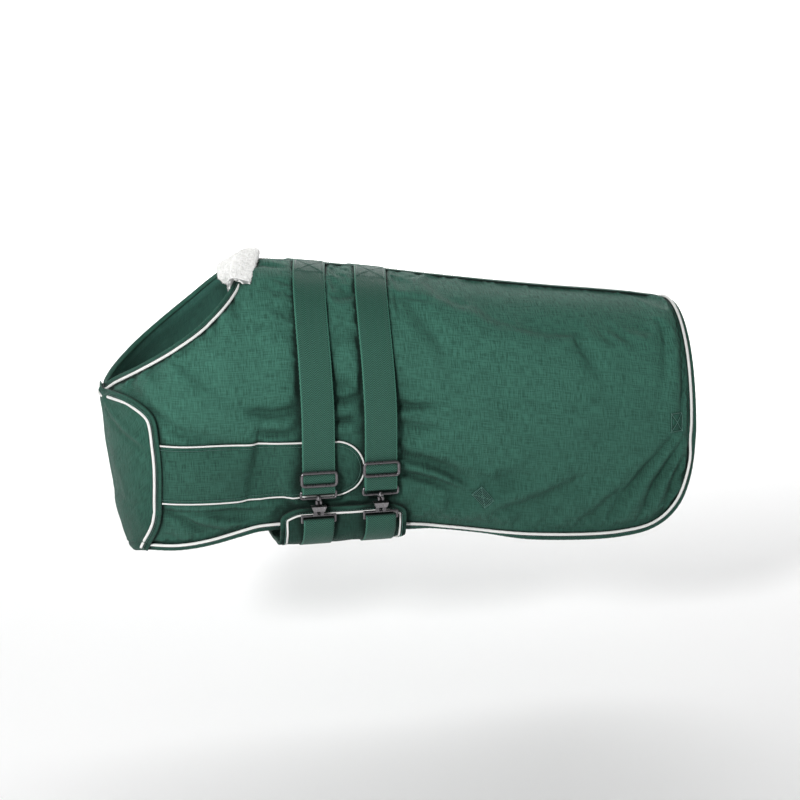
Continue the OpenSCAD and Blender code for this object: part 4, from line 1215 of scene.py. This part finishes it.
# ---- Fleece at the withers ----------------------------------------------------------------
# (away from the edge, outwards), in mm: over the outside, round the edge and back up inside
FLEECE_OUTLINE = [(-26, 11), (-25, 13.6), (-14, 15.4), (-2, 14.6), (6, 11), (9, 4), (9, -4), (6, -13.5),
                  (-2, -20), (-10, -21), (-19.5, -20), (-21, -17.5), (-19, -15), (-8, -14.6), (2, -12.2),
                  (3.6, -5), (3.6, 4), (2, 9.2), (-5, 9.8), (-24, 8.4), (-26, 11)]
path, normal = neck_edge(0.0011, SHOULDER_S + 0.005)
normal = blurred(normal, 60)
outline = evenly(smooth_line(np.array(FLEECE_OUTLINE, float), 200) * MM, 0.0009)[:-1]
rings = swept(path, normal, 1, outline)
body = tube("fleece_pad", rings, FLEECE)
place(body, "rug", "fleece", "wither_fleece")
tufts = body.data
tufts.update()
for vertex, out in zip(tufts.vertices, [v.normal.copy() for v in tufts.vertices]):
    clump = noise.noise(vertex.co * 210) + 0.5 * noise.noise(vertex.co * 520)
    curl = noise.noise_vector(vertex.co * 330)
    vertex.co += out * (0.0011 * clump - 0.0002) + curl * 0.0005
# Curled fibres standing out of the pile
rng = np.random.default_rng(5)
pieces, faces = [], []
chosen = rng.choice(len(tufts.vertices), 9000)
for index in chosen:
    vertex = tufts.vertices[int(index)]
    out = np.array(vertex.normal)
    side_way = unit(np.cross(out, rng.normal(size=3)))
    bend = unit(np.cross(out, side_way))
    root, length, base = np.array(vertex.co) - out * 0.0004, rng.uniform(0.0016, 0.0030), len(pieces)
    for t, w in ((0, 0.00032), (0.5, 0.00026), (1, 0.00006)):
        mid = root + out * length * t * (1 - 0.3 * t) + bend * length * 0.45 * t * t
        for k in range(3):
            turn = 2 * math.pi * k / 3
            pieces.append(mid + w * (math.cos(turn) * side_way + math.sin(turn) * bend))
    for r in (0, 3):
        for k in range(3):
            faces.append([base + r + k, base + r + (k + 1) % 3, base + r + 3 + (k + 1) % 3, base + r + 3 + k])
    faces += [[base + 2, base + 1, base], [base + 6, base + 7, base + 8]]
place(new_object("fleece_fibres", pieces, faces, FLEECE), "rug", "fleece")

# ---- Belly flap ---------------------------------------------------------------------------
FLAP_FRONT, FLAP_REAR = -0.2205, -0.0275
FLAP_TURN = 0.006          # radius of the near end's corners
# (y, z) along the flap's middle, in mm, from its root under the animal to its near end
FLAP_LINE = np.array([(151.5, -340), (152, -349), (151.6, -359), (149, -373), (138, -386), (100, -394),
                      (50, -396), (0, -396), (-50, -394), (-100, -390), (-136, -384.5), (-150, -377),
                      (-156.5, -364), (-157, -345), (-157, -326)]) * MM
flap_curve = evenly(smooth_line(FLAP_LINE, 600), 0.002)
flap_out = directions(flap_curve) @ np.array([[0, -1], [1, 0]])
flap_out = -flap_out if flap_out[len(flap_out) // 2, 1] > 0 else flap_out
flap_long = run_length(flap_curve)


def flap_crease(x, t):
    """How the whole flap buckles where the webbing gathers it."""
    x, t = np.broadcast_arrays(np.asarray(x, float), np.asarray(t, float))
    near = ease(0.30, 0.36, t) * (1 - ease(flap_long[-1] - 0.028, flap_long[-1] - 0.008, t))
    front, rear = (np.abs(x - middle * MM) for middle in STRAPS.values())
    between = 1 - np.exp(-(np.minimum(front, rear) / 0.021) ** 4)
    wave = np.sin(t * 260 + 2.4 * np.sin(x * 75) + x * 40)
    away = 0.5 * np.sin(t * 60 + x * 90) * (1 - near)
    return (-1.3 * near * (0.25 + 0.75 * between) * (1 + wave) / 2 + away) * MM


def flap_point(x, t, n):
    """Point on the flap at x, t metres along its line and n away from the animal."""
    n = n + flap_crease(x, t)
    y, z, oy, oz = (np.interp(t, flap_long, c) for c in (*flap_curve.T, *flap_out.T))
    return np.stack(np.broadcast_arrays(x, y + n * oy, z + n * oz), -1)


def flap_out_at(x, t):
    """Direction away from the animal on the flap."""
    return np.stack(np.broadcast_arrays(0 * x, *(np.interp(t, flap_long, c) for c in flap_out.T)), -1)


def flap_end(x):
    """How far along its line the flap reaches at x: its near end has cut and rounded corners."""
    corner = np.minimum(x - FLAP_FRONT, FLAP_REAR - x)
    cut = 0.011 * np.clip(1 - corner / 0.03, 0, 1) ** 1.6
    return flap_long[-1] - cut - FLAP_TURN * (1 - np.sqrt(1 - np.clip(1 - corner / FLAP_TURN, 0, 1) ** 2))


def flap_rim(x, t):
    """Distance to the flap's bound rim, in mm."""
    return np.minimum(np.minimum(x - FLAP_FRONT, FLAP_REAR - x), flap_end(x) - t) / MM


def flap_swell(x, t, half):
    """Half thickness at a place: pressed at the rim and quilted by slow waves."""
    press = np.exp(-(np.maximum(flap_rim(x, t), 0) / 11) ** 2)
    swell = 0.45 * np.sin(t * 170 + 2 * np.sin(x * 60)) * (1 - press)
    return (half * (1 - 0.42 * press) + np.minimum(swell, 0)) * MM


def flap_slab(name, low, high, material, rows=150, cols=170):
    """One layer of the flap, between two heights off its middle."""
    x, share = np.meshgrid(np.linspace(FLAP_FRONT, FLAP_REAR, rows), np.linspace(0, 1, cols), indexing="ij")
    t = share * flap_end(x)
    return slab(name, flap_point(x, t, high(x, t)), flap_point(x, t, low(x, t)), material)


FLAP_HALF = 2.9            # half thickness of the padded flap, in mm
flap_parts = [
    ("belly_flap_shell", "outer_fabric", "flap_shell_cloth", SHADED_FLAP_CLOTH,
     lambda x, t: flap_swell(x, t, FLAP_HALF) - 0.0009, lambda x, t: flap_swell(x, t, FLAP_HALF)),
    ("belly_flap_fill", "fill_wadding", "flap_wadding", WADDING,
     lambda x, t: -flap_swell(x, t, FLAP_HALF) + 0.0011, lambda x, t: flap_swell(x, t, FLAP_HALF) - 0.0011),
    ("belly_flap_lining", "lining_fabric", "flap_lining_cloth", LINING,
     lambda x, t: -flap_swell(x, t, FLAP_HALF), lambda x, t: -flap_swell(x, t, FLAP_HALF) + 0.0009)]
for node, slot, name, material, low, high in flap_parts:
    obj = flap_slab(name, low, high, material)
    place(obj, None, slot, node)
    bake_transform(obj)

# The bound rim runs down the front edge, round the near end and back up the rear edge
end = flap_long[-1]
down = np.linspace(0.004, float(flap_end(FLAP_FRONT)), 140)
corner = FLAP_TURN * (1 - np.cos(np.linspace(0, math.pi / 2, 10)[1:]))
middle = np.linspace(FLAP_FRONT + FLAP_TURN, FLAP_REAR - FLAP_TURN, 80)[1:-1]
across = np.concatenate([FLAP_FRONT + corner, middle, FLAP_REAR - corner[::-1]])
rim = ([(FLAP_FRONT, t) for t in down] + list(zip(across, flap_end(across)))
       + [(FLAP_REAR, t) for t in down[::-1]])
x, t = np.array(rim).T
path, normal = respaced(flap_point(x, t, flap_swell(x, t, FLAP_HALF)), flap_out_at(x, t), 0.003)
before = set(bpy.data.objects)
bound_edge("flap", path, normal, 1, None, ["belly_flap_binding"], ["belly_flap_piping"], depth=-0.0046,
           lift=-0.0012, radius=0.0016)
for obj in set(bpy.data.objects) - before:
    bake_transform(obj)

for which, x in STRAPS.items():
    run = []
    for t in np.linspace(0.085, end - 0.052, 14):
        y, z, oy, oz = (float(np.interp(t, flap_long, c)) for c in (*flap_curve.T, *flap_out.T))
        lift = 0.0040 + 0.0006 * math.sin(t * 330)
        run.append(flat_ring(x * MM, -(y + lift * oy), z + lift * oz, (-oy, oz)))
    run += [flat_ring(x * MM, 0.1672, -0.3625, (0.96, -0.22)), flat_ring(x * MM, 0.1706, -0.352, (1, -0.05))]
    run += round_bar(x, LOOP_W, -0.3435, 0.0032, range(0, 211, 30))
    webbing(which + "_belly_web", run, "belly_flap", [which + "_belly_webbing"], width=0.0468,
            thickness=0.0017, count=260)

# ---- Keepers of the inside rings ----------------------------------------------------------
keepers = []
for side, side_name in SIDE_NAMES.items():
    for ring in ("stifle", "rear"):
        name = side_name + "_" + ring + "_ring"
        low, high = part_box(name)
        x = (low.x + high.x) / 2
        bar_z = high.z - 0.002
        bar_w = (abs(low.y) + abs(high.y)) / 2
        places = []
        for z, gap in ((bar_z + 0.034, 0.0011), (bar_z + 0.022, 0.0011)):
            v = down_at(np.array([x]), np.array([z]))
            p = on_cloth(np.array([x]), v, -lining_depth(np.array([x]), v) - LINING_T - gap, OFF)[0]
            places.append((p[1], p[2]))
        r = 0.0028
        inner = [(w - 0.0018, z) for w, z in places]
        line = places + [(bar_w + r, bar_z + 0.004), (bar_w + r * 0.9, bar_z - r * 0.5), (bar_w, bar_z - r),
                         (bar_w - r * 0.9, bar_z - r * 0.4), (bar_w - r * 0.6, bar_z + 0.005)] + inner[::-1]
        line = smooth_line(np.array(line), 70)
        out = directions(line) @ np.array([[0, -1], [1, 0]])
        section, across = web_section(0.011, 0.0006)
        mid = np.stack([np.full(len(line), x), line[:, 0] * side, line[:, 1]], -1)
        facing = np.stack([0 * out[:, 0], out[:, 0] * side, out[:, 1]], -1)
        rings = framed(mid, np.array([(1, 0, 0)]), facing, section)
        along = np.linspace(0, 0.1, len(line))
        keepers.append(tube(name + "_keeper", rings, WEB, uv=strip_uv(across, along)))
place(joined("ring_keeper_tabs", keepers), "rug", "webbing", "ring_keepers")


# ---- Metal fittings -----------------------------------------------------------------------
def block(centre, size, bevel=0.0008, segments=3):
    """Box with rounded edges, at (x, half width on the near side, z)."""
    mesh = bpy.data.meshes.new("block")
    shape = bmesh.new()
    bmesh.ops.create_cube(shape, size=1)
    bmesh.ops.scale(shape, vec=size, verts=shape.verts)
    bmesh.ops.bevel(shape, geom=list(shape.edges), offset=bevel, segments=segments, profile=0.6,
                    affect="EDGES")
    bmesh.ops.translate(shape, vec=(centre[0], -centre[1], centre[2]), verts=shape.verts)
    for face in shape.faces:
        face.smooth = True
    shape.to_mesh(mesh)
    shape.free()
    mesh.materials.append(METAL)
    return linked("block", mesh)


def wire_loop(x, w, z_mid, width, height, radius=0.0019, corner=0.0034):
    """Round wire bent to a rectangle across x, seen from the near side."""
    a, b = width / 2 - radius - corner, height / 2 - radius - corner
    path = []
    for cx, cz, start in ((a, b, 0), (-a, b, 90), (-a, -b, 180), (a, -b, 270)):
        for turn in np.radians(np.linspace(start, start + 90, 8)):
            path.append((x + cx + corner * math.cos(turn), -w, z_mid + cz + corner * math.sin(turn)))
    path = np.array(path)
    along = unit(np.roll(path, -1, 0) - np.roll(path, 1, 0))
    facing = np.tile((0.0, -1.0, 0.0), (len(path), 1))
    across = np.cross(along, facing)
    return tube("wire", framed(path, across, facing, circle(radius, 14)), METAL, closed=True)


def lathed(x, w, outline, count=28):
    """Turned piece about an upright axis, through (radius, z) points from the top down."""
    rings = []
    for radius, z in outline:
        turn = np.arange(count) * 2 * math.pi / count
        rings.append(np.stack([x + radius * np.cos(turn), -w + radius * np.sin(turn), 0 * turn + z], -1))
    return tube("turned", rings, METAL)


# Stock fittings for 50 mm webbing
FITTING_W, SLIDER_H = 0.058, 0.025
LOOP_FOOT_Z = -0.3065      # lower bar of the wire loop
CUP_TOP_Z, CUP_T, TEE_GAP, TEE_H = -0.319, 0.0014, 0.0005, 0.0022
TEE_Z = CUP_TOP_Z - CUP_T - TEE_GAP - TEE_H


def slider_frame(x, z):
    """Outer wire, a cheek at each end and the centre bar."""
    parts = [wire_loop(x, HANG_W + 0.0011 + 0.0026, z, FITTING_W, SLIDER_H, 0.0025, 0.0044)]
    parts += [block((x + end * 0.0268, 0.1707, z), (0.0032, 0.0112, 0.0086), 0.0009) for end in (-1, 1)]
    bar = np.array([(x - 0.0262, -BAR_W, z), (x + 0.0262, -BAR_W, z)])
    ring = circle(0.0016, 16)
    return parts + [tube("bar", [end + np.array([(0, a, b) for a, b in ring]) for end in bar], METAL)]


def hook_loop(x):
    """Wire loop held by the surcingle, and the collar under it that the stem turns in."""
    wire = wire_loop(x, LOOP_W, (LOOP_Z + LOOP_FOOT_Z) / 2, FITTING_W, LOOP_Z - LOOP_FOOT_Z + 0.0038)
    collar = ((0.0021, 0.0054), (0.0040, 0.0054), (0.0046, 0.0048), (0.0046, 0.0006), (0.0040, 0),
              (0.0021, 0))
    return [wire, lathed(x, LOOP_W, [(r, LOOP_FOOT_Z - 0.0034 + h) for r, h in collar])]


def swivel(x):
    """Headed stem, the two cheeks of its neck and the tee at its foot."""
    parts = [lathed(x, LOOP_W, [(0.0012, LOOP_FOOT_Z + 0.0035), (0.0026, LOOP_FOOT_Z + 0.0033),
                                (0.003, LOOP_FOOT_Z + 0.0028), (0.003, LOOP_FOOT_Z + 0.0024),
                                (0.0018, LOOP_FOOT_Z + 0.0023), (0.0018, TEE_Z + 0.001),
                                (0.0010, TEE_Z + 0.0005)])]
    parts += [block((x + end * 0.0031, LOOP_W, -0.3136), (0.0038, 0.006, 0.0062), 0.0012)
              for end in (-1, 1)]
    return parts + [block((x, LOOP_W, TEE_Z + TEE_H / 2), (0.0032, 0.0096, TEE_H), 0.0005)]


for which, x_mm in STRAPS.items():
    x = x_mm * MM
    for piece, parts, body, node in (
            ("_slider_frame", slider_frame(x, SLIDER_Z[which]), which + "_slider", "_slider"),
            ("_wire_loop", hook_loop(x), "rug", "_hook_loop"),
            ("_swivel", swivel(x), which + "_hook_stem", "_hook_stem")):
        place(joined(which + piece, parts), body, "gunmetal_fittings", which + node)

for name, node in frame["nodes"].items():
    if node.hide_render:
        continue
    node.data.materials.clear()
    node.data.materials.append(METAL)
    if name.endswith("_hook_eye"):
        edge = node.modifiers.new("edges", "BEVEL")
        edge.width, edge.segments, edge.limit_method, edge.angle_limit = 0.0004, 2, "ANGLE", math.radians(40)
    node.data.polygons.foreach_set("use_smooth", [True] * len(node.data.polygons))
    node.data.set_sharp_from_angle(angle=math.radians(35))


# ---- Studio -------------------------------------------------------------------------------
paper = Nodes("paper", 0.9, specular=0.1).finish(rgba((0.94, 0.94, 0.94)))
FLOOR_Z = -0.70            # low enough for the belly flap to hang clear of it
floor = new_object("floor", [(-7, -7, FLOOR_Z), (7, -7, FLOOR_Z), (7, 3.6, FLOOR_Z), (-7, 3.6, FLOOR_Z)],
                   [[0, 1, 2, 3]], paper, smooth=False)
glow = Nodes("lit_backdrop", 0.9)
glow.set("Emission Color", (1, 1, 1, 1))
glow.set("Emission Strength", 1.0)
backdrop = new_object("backdrop", [(-9, 3.6, FLOOR_Z), (9, 3.6, FLOOR_Z), (9, 3.6, 4), (-9, 3.6, 4)],
                      [[0, 1, 2, 3]], glow.finish((1, 1, 1, 1)), smooth=False)
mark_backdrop(floor, backdrop)
world = bpy.data.worlds.new("studio")
bpy.context.scene.world = world
world.use_nodes = True
world.node_tree.nodes["Background"].inputs["Color"].default_value = (1, 1, 1, 1)
world.node_tree.nodes["Background"].inputs["Strength"].default_value = 0.17


def area_light(name, place_at, target, size, power):
    """A round lamp turned towards its target."""
    light = bpy.data.lights.new(name, "AREA")
    light.shape, light.size, light.energy = "DISK", size, power
    obj = linked(name, light)
    obj.location = place_at
    obj.rotation_euler = (Vector(target) - Vector(place_at)).to_track_quat("-Z", "Y").to_euler()


area_light("key", (-2.2, -3.1, 1.35), (0.05, 0, -0.15), 0.6, 128)
area_light("fill", (1.9, -2.4, 0.7), (0.1, 0, -0.2), 2.0, 4)
area_light("floor_far", (0.8, 2.9, 1.5), (0.8, 2.4, FLOOR_Z), 2.5, 70)
bpy.context.scene.view_settings.view_transform = "Standard"

bpy.context.view_layer.update()
low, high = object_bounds()
